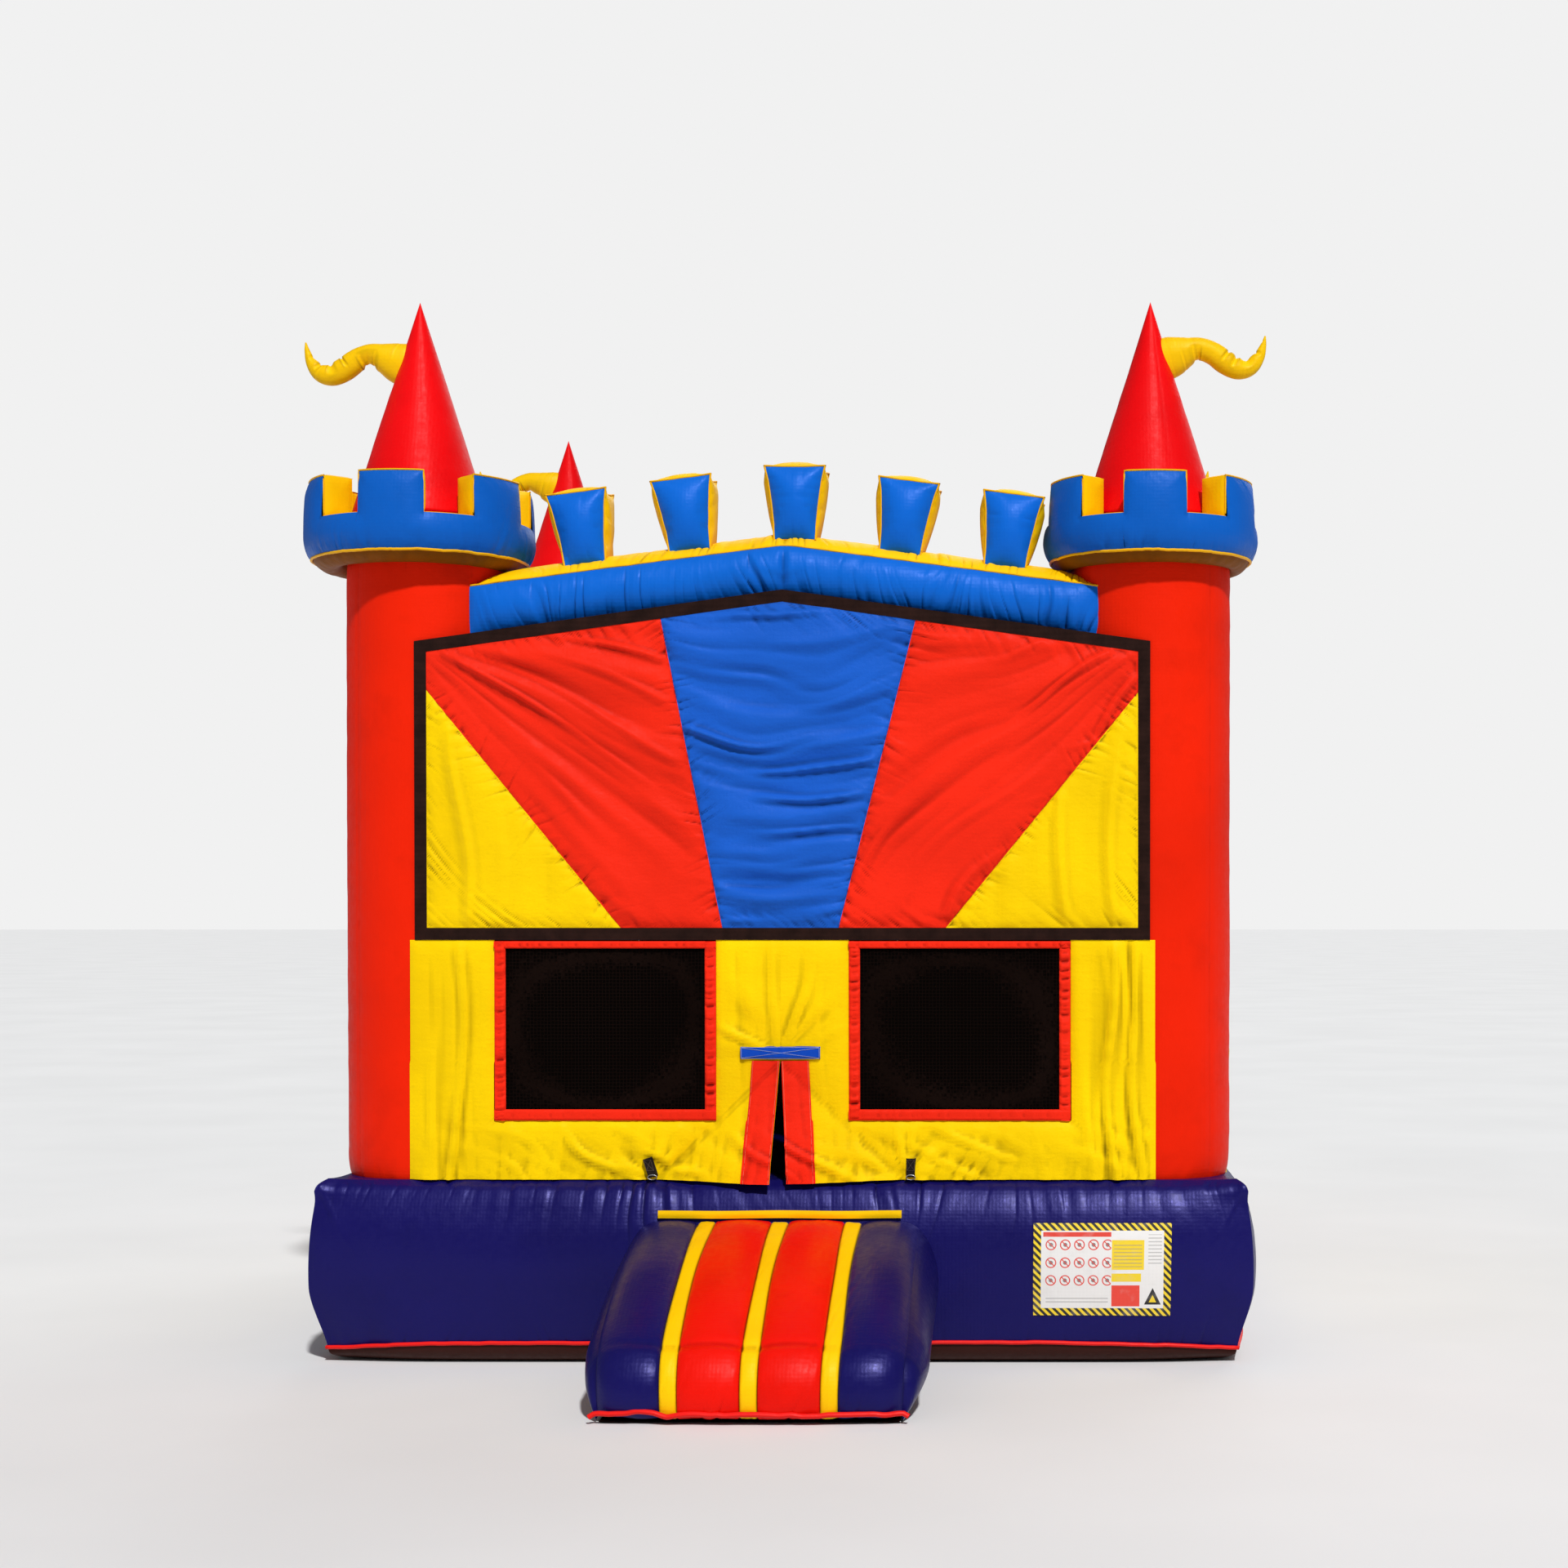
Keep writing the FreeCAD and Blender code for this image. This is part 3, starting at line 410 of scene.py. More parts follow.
def netting(name):
    """Knotless safety net: a dark diamond mesh, with its open cells painted near black as painted shade for the dark
    inside seen through them.
    """
    n = Nodes(name)
    cells = n.add("ShaderNodeTexVoronoi", feature="DISTANCE_TO_EDGE", Scale=70.0, Randomness=0.15)
    n.link(n.where, cells.inputs["Vector"])
    cord_fac = n.spread(cells.outputs["Distance"], 1.0, 0.0, 0.03, 0.14)
    blotch = n.spread(n.noise(3.0, 4.0), 0.0, 1.0)
    cord_rgb = n.mix(blotch, [0.0045, 0.0020, 0.0014, 1.0], [0.0075, 0.0035, 0.0026, 1.0])
    # painted shade: the open cells get the near-black colour of the shaded inside
    n.link(n.mix(cord_fac, [0.0012, 0.0006, 0.0004, 1.0], cord_rgb), n.bsdf.inputs["Base Color"])
    n.set("Roughness", 0.95)
    n.set("Specular IOR Level", 0.03)
    n.bump([(cord_fac, 0.0015, 0.6)])
    return n.material


def metal(name, rgb=(176, 178, 182), rough=0.34):
    """Zinc-plated wire or zip coil, with a fine spangle."""
    n = Nodes(name)
    base = linear(*rgb)
    spangle = n.noise(210.0, 4.0)
    n.link(n.mix(n.spread(spangle, 0.0, 1.0), shade(base, 0.72), shade(base, 1.12)), n.bsdf.inputs["Base Color"])
    n.link(n.spread(n.noise(60.0, 5.0), rough - 0.08, rough + 0.14), n.bsdf.inputs["Roughness"])
    n.set("Metallic", 1.0)
    n.bump([(spangle, 0.0003, 0.35)])
    return n.material


def floor_material():
    n = Nodes("floor_pale")
    n.link(n.mix(n.spread(n.noise(0.6, 3.0), 0.0, 1.0), [0.78, 0.78, 0.78, 1], [0.82, 0.82, 0.82, 1]),
           n.bsdf.inputs["Base Color"])
    n.set("Roughness", 0.9)
    return n.material


NAVY = vinyl("vinyl_navy", (17, 13, 82), rough=0.37, mottle=0.10, coat=0.05, gloss=0.36)
BLUE = vinyl("vinyl_blue", (13, 99, 202), rough=0.40, gloss=0.22)
# painted shade: the blue vinyl darkened for the turret rings
BLUE_PAINTED_SHADE = vinyl("vinyl_blue_turret_painted_shade", (12, 90, 184), rough=0.42, gloss=0.22)
BLUE_PANEL = canvas("panel_blue", (28, 92, 196), rough=0.46)
RED = vinyl("vinyl_red", (230, 8, 14), rough=0.44, gloss=0.2)
ORANGE = vinyl("vinyl_orange_red", (232, 34, 6), rough=0.5, soft=0.2, gloss=0.12)
RED_PANEL = canvas("panel_red", (241, 42, 20), rough=0.5)
YELLOW = vinyl("vinyl_yellow", (252, 198, 4), rough=0.45, dark=0.88, gloss=0.25)
YELLOW_PANEL = canvas("panel_yellow", (252, 208, 2))
RAMP_RED = vinyl("vinyl_ramp_red", (232, 18, 4), rough=0.42, soft=0.15)
UNDER = vinyl("vinyl_underside", (46, 20, 15), rough=0.6)
PIPING = vinyl("piping_red", (230, 30, 26), rough=0.4, weaving=0.1, painted_shade_factor=1.0)
# painted shadow: the yellow vinyl darkened for the turrets' undersides
YELLOW_PAINTED_SHADE = vinyl("vinyl_yellow_underside_painted_shade", (128, 74, 8), rough=0.55, gloss=0.15)
WELT_YELLOW = vinyl("welt_yellow", (240, 178, 14), rough=0.45, weaving=0.1, painted_shade_factor=1.0)
HEADER = canvas("header_blue", (18, 72, 186), rough=0.5)
THREAD = webbing("thread_pale", (160, 172, 200), rib=600.0)
THREAD_RED = webbing("thread_red", (255, 110, 84), rib=600.0)
THREAD_DIM = webbing("thread_dim", (96, 84, 76), rib=600.0)
TAPE = webbing("loop_tape", (34, 18, 14))
WEB_BLACK = webbing("webbing_black", (30, 24, 22))
NET = netting("safety_net")
ZINC = metal("zinc_wire")
ZIP = metal("zip_coil", (40, 40, 44), rough=0.4)


# ---------------------------------------------------------------- base
# section of a side chamber, from the bottom seam to the top: distance from the centre, height
BASE_KEYS = np.array([(1.934, 0.087), (1.961, 0.200), (1.985, 0.380), (1.978, 0.520),
                      (1.949, 0.630), (1.908, 0.712), (1.862, 0.749)])


def spline(keys, count):
    """Smooth curve through the given rows."""
    keys = np.asarray(keys, float)
    t = np.linspace(0, len(keys) - 1, count)
    i = np.clip(np.floor(t).astype(int), 0, len(keys) - 2)
    f = (t - i)[:, None]
    before = np.where((i > 0)[:, None], keys[np.maximum(i - 1, 0)], 2 * keys[i] - keys[i + 1])
    last = len(keys) - 1
    after = np.where((i < last - 1)[:, None], keys[np.minimum(i + 2, last)], 2 * keys[i + 1] - keys[i])
    a, b = keys[i], keys[i + 1]
    return 0.5 * (2 * a + (b - before) * f + (2 * before - 5 * a + 4 * b - after) * f**2
                  + (3 * a - before - 3 * b + after) * f**3)


def side_point(quarter, T, R, Z, bulging=True):
    """Base side at T along it, section point (R, Z): bulge, chamfered lower corners, ears and puckers."""
    seed = 10 * quarter + (1 if bulging else 5)
    dist = np.maximum(R - np.abs(T), 0)
    chord = 1.935 - 0.020 * np.clip((Z - 0.087) / 0.60, 0, 1)
    w = 0.35 + 0.65 * rise(dist, 0.20)
    R2 = np.where(bulging & (R > chord), chord + (R - chord) * w, R)
    low = ease((0.32 - Z) / 0.26)
    R2 = R2 - 0.052 * np.exp(-(dist / 0.26) ** 1.6) * low
    Z2 = Z - 0.030 * np.exp(-(dist / 0.34) ** 1.5) * low * ease(Z / 0.08)
    if bulging:
        ear = np.exp(-dist / 0.07) * np.exp(-((Z - 0.735) / 0.045) ** 2) * (R > 1.84)
        R2, Z2 = R2 + 0.020 * ear, Z2 + 0.010 * ear
        fade = rise(dist, 0.03)
        top = np.maximum(0.735 - Z, 0) + np.maximum(1.90 - R, 0)
        front = 1.0 if quarter == 0 else 0.5
        cluster = 0.45 + 1.1 * front * np.exp(-((np.abs(T) - 0.48) / 0.26) ** 2)
        out = 0.0085 * creases(T, top, 0.040, 0.15, seed) * fade * cluster
        out = out + 0.0035 * creases(T, Z - 0.087, 0.05, 0.08, seed + 20) * fade
        diagonal = 0.008 * np.exp(-((dist - (0.735 - Z) * 0.8) / 0.012) ** 2) * np.exp(-(0.735 - Z) / 0.10)
        out = out + diagonal * ease((0.74 - Z) / 0.02) * ease(dist / 0.02)
        out = out + 0.005 * noise(T / 0.55, Z / 0.30, seed + 9) * fade * ease((0.72 - Z) / 0.1)
        up = ease((Z - 0.60) / 0.13)
        R2, Z2 = R2 + out * (1 - 0.75 * up), Z2 + out * 0.9 * up * ease((R - 1.862) / 0.03)
    return turn(stack(T / np.maximum(R, 1e-6) * R2, -R2, Z2), quarter)


def side_grid(quarter, r, z, nu, bulging):
    """One side of the base over the section (r, z), with more columns near its ends."""
    u = np.linspace(-1, 1, nu)
    u = (0.72 * u + 0.28 * np.sin(u * PI / 2))[:, None]
    return side_point(quarter, u * r[None, :], r[None, :], z[None, :], bulging)


def arc3(a, b, c, count):
    """Points on the circle through three points, from a to c."""
    (ax, ay), (bx, by), (cx, cy) = a, b, c
    d = 2 * (ax * (by - cy) + bx * (cy - ay) + cx * (ay - by))
    ux = ((ax**2 + ay**2) * (by - cy) + (bx**2 + by**2) * (cy - ay) + (cx**2 + cy**2) * (ay - by)) / d
    uy = ((ax**2 + ay**2) * (cx - bx) + (bx**2 + by**2) * (ax - cx) + (cx**2 + cy**2) * (bx - ax)) / d
    r = math.hypot(ax - ux, ay - uy)
    t = [math.atan2(p[1] - uy, p[0] - ux) for p in (a, b, c)]
    if not min(t[0], t[2]) <= t[1] <= max(t[0], t[2]):
        t[2] += 2 * PI if t[2] < t[0] else -2 * PI
    angle = np.linspace(t[0], t[2], count)
    return np.stack([ux + r * np.cos(angle), uy + r * np.sin(angle)], axis=1)


def make_base():
    """Side chambers, underside, and the red piping of the base seam and the ramp's nose."""
    curve = spline(BASE_KEYS, 64)
    shelf = np.stack([np.linspace(1.862, 1.482, 14), np.linspace(0.749, 0.748, 14)], axis=1)
    r, z = np.concatenate([curve, shelf[1:]]).T
    skin = Skin()
    for k in range(4):
        skin.grid(side_grid(k, r, z, 760, True), 0)
    base = skin.build("base_sides", [NAVY])
    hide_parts("base_tube")

    tuck = arc3((1.934, 0.086), (1.915, 0.03), (1.865, 0.002), 14)
    r, z = np.concatenate([tuck, np.stack([np.linspace(1.865, 0.0, 12), np.full(12, 0.001)], axis=1)[1:]]).T
    skin = Skin()
    for k in range(4):
        skin.grid(side_grid(k, r, z, 160, False), 0, flip=True)
    under = skin.build("base_underside_skin", [UNDER])
    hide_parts("base_underside")

    skin = Skin()
    t = np.linspace(-1, 1, 200, endpoint=False)
    runs = []
    for k in range(4):
        run = 1.940 * t + 8 * k
        rim = 1.938 + 0.0012 * noise(run / 0.2, 0, 63)
        edge = side_point(k, 1.934 * t, np.full(200, 1.934), np.full(200, 0.087), False)
        edge[:, :2] *= (rim / 1.934)[:, None]
        edge[:, 2] += 0.003 * noise(run / 0.35, 0, 61) + 0.0015 * noise(run / 0.05, 0, 62)
        runs.append(edge)
    line = np.concatenate(runs)
    skin.tube(line, 0.0085, 0, 10, closed=True)
    x = np.linspace(-0.574, 0.574, 120)
    y = -3.120 + 0.03 * (x / 0.572) ** 2
    zz = 0.030 + 0.020 * np.abs(noise(x / 0.20, 0, 64)) + 0.005 * noise(x / 0.05, 0, 65)
    nose = stack(x, y, zz)
    nose[0] += [-0.010, -0.004, -0.010]
    nose[-1] += [0.010, -0.004, -0.010]
    skin.tube(nose, 0.010, 0, 10)
    piping = skin.build("base_seam_piping", [PIPING])
    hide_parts("base_piping")


def make_floor():
    """Seven floor channels with their sewn valleys."""
    low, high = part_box("floor_channels")
    skin = Skin()
    pitch = (high[0] - low[0] + 0.003) / 7
    for k in range(7):
        x0 = low[0] + k * pitch
        u, v = np.linspace(0, 1, 25)[:, None], np.linspace(0, 1, 110)[None, :]
        x = x0 + u * (pitch - 0.003)
        y = low[1] + v * (high[1] - low[1])
        edge = np.minimum(u, 1 - u) * pitch
        end = np.minimum(v, 1 - v) * (high[1] - low[1])
        zz = 0.700 + 0.038 * (1 - (2 * u - 1) ** 2) ** 0.75 * (0.55 + 0.45 * rise(end, 0.15))
        zz = zz + 0.004 * creases(y, edge, 0.06, 0.09, 80 + k) + 0.002 * noise(x / 0.2, y / 0.3, 90)
        skin.grid(stack(x, y, zz), 0)
        for row, other in ((0, 1), (-1, -1)):
            edge_line = stack(x[:, 0], low[1] if row == 0 else high[1], zz[:, row])
            foot = edge_line.copy()
            foot[:, 2] = 0.09
            skin.grid(np.stack([foot, edge_line], axis=1), 0, flip=other < 0)
    floor = skin.build("bounce_floor", [NAVY])
    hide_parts("floor_channels")


# ---------------------------------------------------------------- towers, turrets, cones, pennants
CORNERS = {"front_left": (-1.545, -1.525), "front_right": (1.540, -1.525),
           "rear_left": (-1.525, 1.525), "rear_right": (1.525, 1.525)}
LEAN = {"front_left": -0.032}    # how far a tower's top stands to the side of its foot
TOWER_R = 0.325


def tower_top(name):
    """Centre of the turret and cone on a tower."""
    return CORNERS[name][0] + LEAN.get(name, 0.0), CORNERS[name][1]


def cup(d, depth):
    """Crown of a small panel, d from its nearest seam."""
    return depth * rise(d, 0.025)


def around(centre, theta, r, z):
    """Points round a vertical axis. theta is 0 towards the entrance side and grows to the right."""
    return stack(centre[0] + r * np.sin(theta), centre[1] - r * np.cos(theta), z)


def make_tower(name, seed):
    """Round tower with four upright seams, puckered at its foot and under the turret."""
    centre = CORNERS[name]
    th = np.linspace(-PI, PI, 145)[:, None]
    z = np.concatenate([np.linspace(0.748, 0.95, 24), np.linspace(0.96, 3.15, 60), np.linspace(3.17, 3.345, 16)])
    z = z[None, :]
    r = TOWER_R - 0.010 * np.exp(-(z - 0.75) / 0.03) - 0.006 * np.exp(-(3.345 - z) / 0.03)
    s = th * TOWER_R
    whole = ease((PI - np.abs(th)) / 0.25)
    r = r + 0.0045 * creases(s, z - 0.75, 0.05, 0.10, seed) * whole
    r = r + 0.0035 * creases(s, 3.345 - z, 0.05, 0.08, seed + 1) * whole
    r = r + 0.0016 * noise(s / 0.13, z / 0.42, seed + 2) * whole
    r = r + 0.0012 * noise(s / 0.5, z / 0.055, seed + 3) * whole
    for seam in (-2.35, -0.78, 0.78, 2.35):
        off = np.abs(th - seam) * TOWER_R
        r = r - 0.0028 * np.exp(-(off / 0.006) ** 2)
        r = r + 0.0022 * creases(z, off, 0.035, 0.03, seed + 5) * rise(off, 0.004)
    skin = Skin()
    P = around(centre, th, r, z)
    P[..., 0] += 0.045 * (P[..., 0] - centre[0])
    skin.grid(P, 0)
    tower = skin.build("tower_skin_" + name, [ORANGE])
    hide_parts("tower_" + name)


WELT_Z, SILL_Z, CROWN_Z = 3.350, 3.497, 3.670    # turret: lower welt, foot and top of the battlements


def make_turret(name, spin, seed):
    """Battlement ring in blue darkened as painted shade, with yellow tops, cheeks and sills, an underside in yellow
    darkened as painted shadow, and a welt at its lower edge.
    """
    centre = tower_top(name)
    R = 0.432 if name == "front_right" else 0.456
    inner = R - 0.130
    half = math.radians(17.0)
    period = 2 * PI / 6
    skin = Skin()

    def outer(theta, z, to_step, in_merlon):
        """Outer blue wall: it swells away from every seam round it."""
        s = theta * R
        step = np.abs(to_step) * R
        high = z > SILL_Z + 1e-6
        d_low = np.where(in_merlon, np.hypot(step, np.maximum(SILL_Z - z, 0)), SILL_Z - z)
        d_high = np.minimum(step, CROWN_Z - z)
        d = np.minimum(np.where(high, d_high, d_low), z - WELT_Z)
        low = np.clip((z - WELT_Z + 0.004) / 0.40, 0, 1)
        r = R - 0.010 + 0.018 * rise(d, 0.036) + 0.022 * np.sin(PI * low ** 0.62) ** 0.8
        r = r + 0.0065 * creases(s, z - WELT_Z, 0.026, 0.060, seed) * rise(z - WELT_Z, 0.004)
        r = r + 0.0030 * creases(s + z, d, 0.03, 0.035, seed + 2) * rise(d, 0.004)
        return around(centre, theta, r, z)

    for k in range(6):
        mid = spin + k * period
        th = mid + np.linspace(-half, half, 37)[:, None]
        z = np.concatenate([np.linspace(WELT_Z, SILL_Z, 14), np.linspace(SILL_Z, CROWN_Z, 20)[1:]])[None, :]
        to_step = half - np.abs(th - mid)
        skin.grid(outer(th, z, to_step, True), 0)
        gap = mid + half + np.linspace(0, period - 2 * half, 37)[:, None]
        zg = np.linspace(WELT_Z, SILL_Z, 14)[None, :]
        centre_gap = mid + period / 2
        to_step = (period / 2 - half) - np.abs(gap - centre_gap)
        skin.grid(outer(gap, zg, to_step, False), 0)
        v = np.linspace(0, 1, 9)[None, :]
        # merlon top, sill between merlons
        edge = np.minimum((half - np.abs(th - mid)) * R, np.minimum(v, 1 - v) * (R - inner))
        skin.grid(around(centre, th, R - 0.004 - v * (R - inner), CROWN_Z + cup(edge, 0.012)), 1)
        edge = np.minimum((period / 2 - half - np.abs(gap - centre_gap)) * R, np.minimum(v, 1 - v) * (R - inner))
        skin.grid(around(centre, gap, R - v * (R - inner), SILL_Z + cup(edge, 0.008)), 1)
        # cheeks and inner face
        w = np.linspace(0, 1, 17)[None, :]
        q = np.linspace(0, 1, 13)[:, None]
        for side in (-1, 1):
            edge = np.minimum(np.minimum(q, 1 - q) * (R - inner), np.minimum(w, 1 - w) * (CROWN_Z - SILL_Z))
            theta = mid + side * (half + cup(edge, 0.012) / R)
            radius = R - q * (R - inner)
            skin.grid(around(centre, theta, radius, SILL_Z + w * (CROWN_Z - SILL_Z)), 1, flip=side < 0)
        edge = np.minimum((half - np.abs(th - mid)) * inner, np.minimum(w, 1 - w) * (CROWN_Z - SILL_Z))
        skin.grid(around(centre, th, inner - cup(edge, 0.012), SILL_Z + w * (CROWN_Z - SILL_Z)), 1, flip=True)
    # underside, from the tower out to the welt, in yellow darkened as painted shadow
    th = np.linspace(0, 2 * PI, 181)[:, None]
    v = np.linspace(0, 1, 18)[None, :]
    r = 0.318 + (R - 0.010 - 0.318) * v
    z = 3.343 + (WELT_Z - 3.343) * v ** 1.5 - 0.042 * np.sin(PI * v) ** 0.65
    z = z - 0.009 * creases(th * R, (1 - v) * 0.13, 0.035, 0.05, seed + 4) * np.sin(PI * v)
    z = z - 0.003 * creases(th * R, v * 0.13, 0.05, 0.05, seed + 6) * np.sin(PI * v)
    skin.grid(around(centre, th, r, z), 4, flip=True)
    ring = np.linspace(0, 2 * PI, 240, endpoint=False)
    wavy = 0.002 * noise(ring * 9, 0, seed) + 0.001 * noise(ring * 40, 0, seed + 1)
    skin.tube(around(centre, ring, R - 0.006, WELT_Z - 0.003 + wavy), 0.0062, 2, 8, closed=True)
    # piping that follows the battlements
    line = []
    for k in range(6):
        mid = spin + k * period
        for a, b, n, z0, z1 in ((-half, -half, 10, SILL_Z, CROWN_Z), (-half, half, 16, CROWN_Z, CROWN_Z),
                                (half, half, 10, CROWN_Z, SILL_Z), (half, period - half, 14, SILL_Z, SILL_Z)):
            t = np.linspace(0, 1, n, endpoint=False)
            line.append(around(centre, mid + a + (b - a) * t, R + 0.001, z0 + (z1 - z0) * t))
    skin.tube(np.concatenate(line), 0.0042, 3, 6, closed=True)
    turret = skin.build("turret_skin_" + name, [BLUE_PAINTED_SHADE, YELLOW, WELT_YELLOW, WELT_YELLOW, YELLOW_PAINTED_SHADE])
    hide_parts("turret_" + name)


def make_cone(name, seed):
    """Pointed roof with two seams, tucked in at its foot."""
    centre = tower_top(name)
    th = np.linspace(-PI, PI, 121)[:, None]
    z = np.concatenate([np.linspace(3.497, 3.56, 12), np.linspace(3.58, 4.40, 60), [4.425, 4.445, 4.456, 4.461]])
    z = z[None, :]
    body = 0.290 * (4.462 - z) / (4.462 - 3.540)
    tuck = 0.268 + 0.022 * ease((z - 3.497) / 0.043)
    r = np.maximum(np.where(z < 3.54, tuck, body), 0.0005)
    bulk = ease(r / 0.12)
    whole = ease((PI - np.abs(th)) / 0.3)
    puckered = 0.003 * creases(th * 0.29, z - 3.50, 0.04, 0.08, seed)
    r = r + (puckered + 0.0015 * noise(th * 2.0, z / 0.35, seed + 2)) * bulk * whole
    r = r + 0.0008 * noise(th * 0.8, z / 0.05, seed + 3) * bulk * whole
    for seam in (-PI + 0.02, 0.3):
        r = r - 0.0018 * np.exp(-((th - seam) * r / 0.005) ** 2) * bulk
    skin = Skin()
    skin.grid(around(centre, th, r, z), 0)
    cone = skin.build("cone_skin_" + name, [RED])
    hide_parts("cone_" + name)


# spine of a pennant: distance out from the tower's axis, height, and the half height and half thickness there
TAIL = [(0.050, 4.160, 0.094, 0.050), (0.105, 4.178, 0.084, 0.054), (0.160, 4.196, 0.062, 0.052),
        (0.215, 4.206, 0.048, 0.045), (0.270, 4.186, 0.048, 0.042), (0.320, 4.150, 0.050, 0.042),
        (0.375, 4.124, 0.046, 0.038), (0.425, 4.132, 0.038, 0.031), (0.462, 4.172, 0.026, 0.021),
        (0.482, 4.222, 0.013, 0.012), (0.490, 4.262, 0.003, 0.003)]


def make_pennants():
    """Air-filled streamers that leave the cones sideways, hump, dip and curl up at the tip."""
    curve = spline(TAIL, 150)
    spine, tall, thick = curve[:, :2], curve[:, 2], curve[:, 3]
    ahead = np.gradient(spine, axis=0)
    ahead /= np.linalg.norm(ahead, axis=1, keepdims=True)
    up = np.stack([-ahead[:, 1], ahead[:, 0]], axis=1)
    bend = np.gradient(np.arctan2(ahead[:, 1], ahead[:, 0]))
    bend = np.convolve(bend, np.ones(11) / 11, mode="same") / 0.054
    run = np.concatenate([[0], np.cumsum(np.linalg.norm(np.diff(spine, axis=0), axis=1))])
    angle = np.linspace(0, 2 * PI, 49)[None, :]
    skin = Skin()
    for k, (name, (cx, cy)) in enumerate(CORNERS.items()):
        side = math.copysign(1, cx)
        cx += LEAN.get(name, 0.0)
        c, s = np.cos(angle), np.sin(angle)
        # the flat pattern's seam runs along the top and the bottom of the tail
        high = np.sign(s) * np.abs(s) ** 1.12 * tall[:, None]
        wide = np.sign(c) * np.abs(c) ** 0.9 * thick[:, None]
        bent = np.clip(3.0 * np.abs(bend)[:, None], 0, 1)
        inside = np.clip(np.sign(bend)[:, None] * s, 0, 1) ** 1.2 * bent
        groove = np.clip(1 - 2.3 * np.abs(noise(run / 0.050, 0, 200 + k)), 0, 1)[:, None] ** 1.2
        pinch = groove * inside
        high = high * (1 - 0.28 * pinch)
        wide = wide * (1 - 0.42 * groove * np.clip(0.35 + np.sign(bend)[:, None] * s, 0, 1) * bent)
        puckered = 0.003 * creases(run[:, None], np.abs(c) * 0.05, 0.03, 0.04, 210 + k)
        wide = wide + puckered * np.sign(c) * np.minimum(tall / 0.05, 1)[:, None]
        x = cx + side * (spine[:, :1] + up[:, :1] * high)
        z = spine[:, 1:] + up[:, 1:] * high + (0.055 if name == "front_right" else 0.030)
        skin.grid(stack(x, cy + wide, z), 0, flip=side < 0)
    tails = skin.build("pennant_skins", [YELLOW])
    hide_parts("pennants")


# ---------------------------------------------------------------- beams and keystones
GABLE_SLOPE = 0.13


def beam_foot(x, gable):
    """Height of a beam's underside along it."""
    return (3.185 - GABLE_SLOPE * np.sqrt(x**2 + 0.0004)) if gable else np.full_like(x, 2.999)


def make_beam(name, gable, quarter, seed):
    """Four-sided air beam: blue face, back and belly, yellow top."""
    # two edges as (y, height over the foot), bulge, material, outward direction
    faces = [((-1.760, 0.0), (-1.760, 0.209), 0.050, 0, (0.0, -1.0, 0.0)),
             ((-1.760, 0.209), (-1.480, 0.213), 0.064, 1, (0.0, 0.0, 1.0)),
             ((-1.480, 0.213), (-1.480, 0.0), 0.040, 0, (0.0, 1.0, 0.0)),
             ((-1.480, 0.0), (-1.760, 0.0), 0.020, 0, (0.0, 0.0, -1.0))]
    x = np.linspace(-1.315, 1.315, 600)[:, None]
    z0 = beam_foot(x, gable)
    end = 1.315 - np.abs(x)
    ridge = np.abs(x) if gable else np.full_like(x, 9.0)
    skin = Skin()
    for k, (a, b, bulge, slot, out) in enumerate(faces):
        v = np.linspace(0, 1, 30)[None, :]
        width = math.hypot(b[0] - a[0], b[1] - a[1])
        y = a[0] + (b[0] - a[0]) * v
        z = z0 + a[1] + (b[1] - a[1]) * v
        P = stack(x, y, z)
        swell = bulge * np.sin(PI * v) ** 0.62 * (0.12 + 0.88 * rise(end, 0.07))
        swell = swell * (1 - 0.30 * np.exp(-(ridge / 0.016) ** 2))
        d = np.minimum(v, 1 - v) * width
        body = rise(d, 0.006)
        swell = swell + 0.0045 * creases(x, (1 - v) * width, 0.040, 0.05, seed + k) * body
        grouped = 0.6 + 0.6 * (noise(x / 0.3, 0, seed + 30) > -0.1)
        swell = swell + 0.0115 * creases(x, v * width, 0.025, 0.13, seed + 5 + k) * body * grouped
        swell = swell + 0.005 * creases(z, ridge, 0.04, 0.06, seed + 9) * body
        swell = swell + 0.003 * noise(x / 0.16, v * 1.3, seed + 12) * body
        skin.grid(turn(P + np.array(out) * swell[..., None], quarter), slot)
    seam_x = np.linspace(-1.312, 1.312, 200)
    foot = beam_foot(seam_x, gable)
    for y, dz in ((-1.762, 0.209), (-1.478, 0.213)):
        bead_z = foot + dz + 0.0015 * noise(seam_x / 0.05, 0, seed + 1)
        bead = stack(seam_x, y + 0.0015 * noise(seam_x / 0.04, 0, seed), bead_z)
        skin.tube(turn(bead, quarter), 0.0045, 2, 6)
    beam = skin.build(name + "_skin", [BLUE, YELLOW, WELT_YELLOW])
    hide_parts(name)


BLOCK_STEPS = 28         # squares along each edge of a battlement block


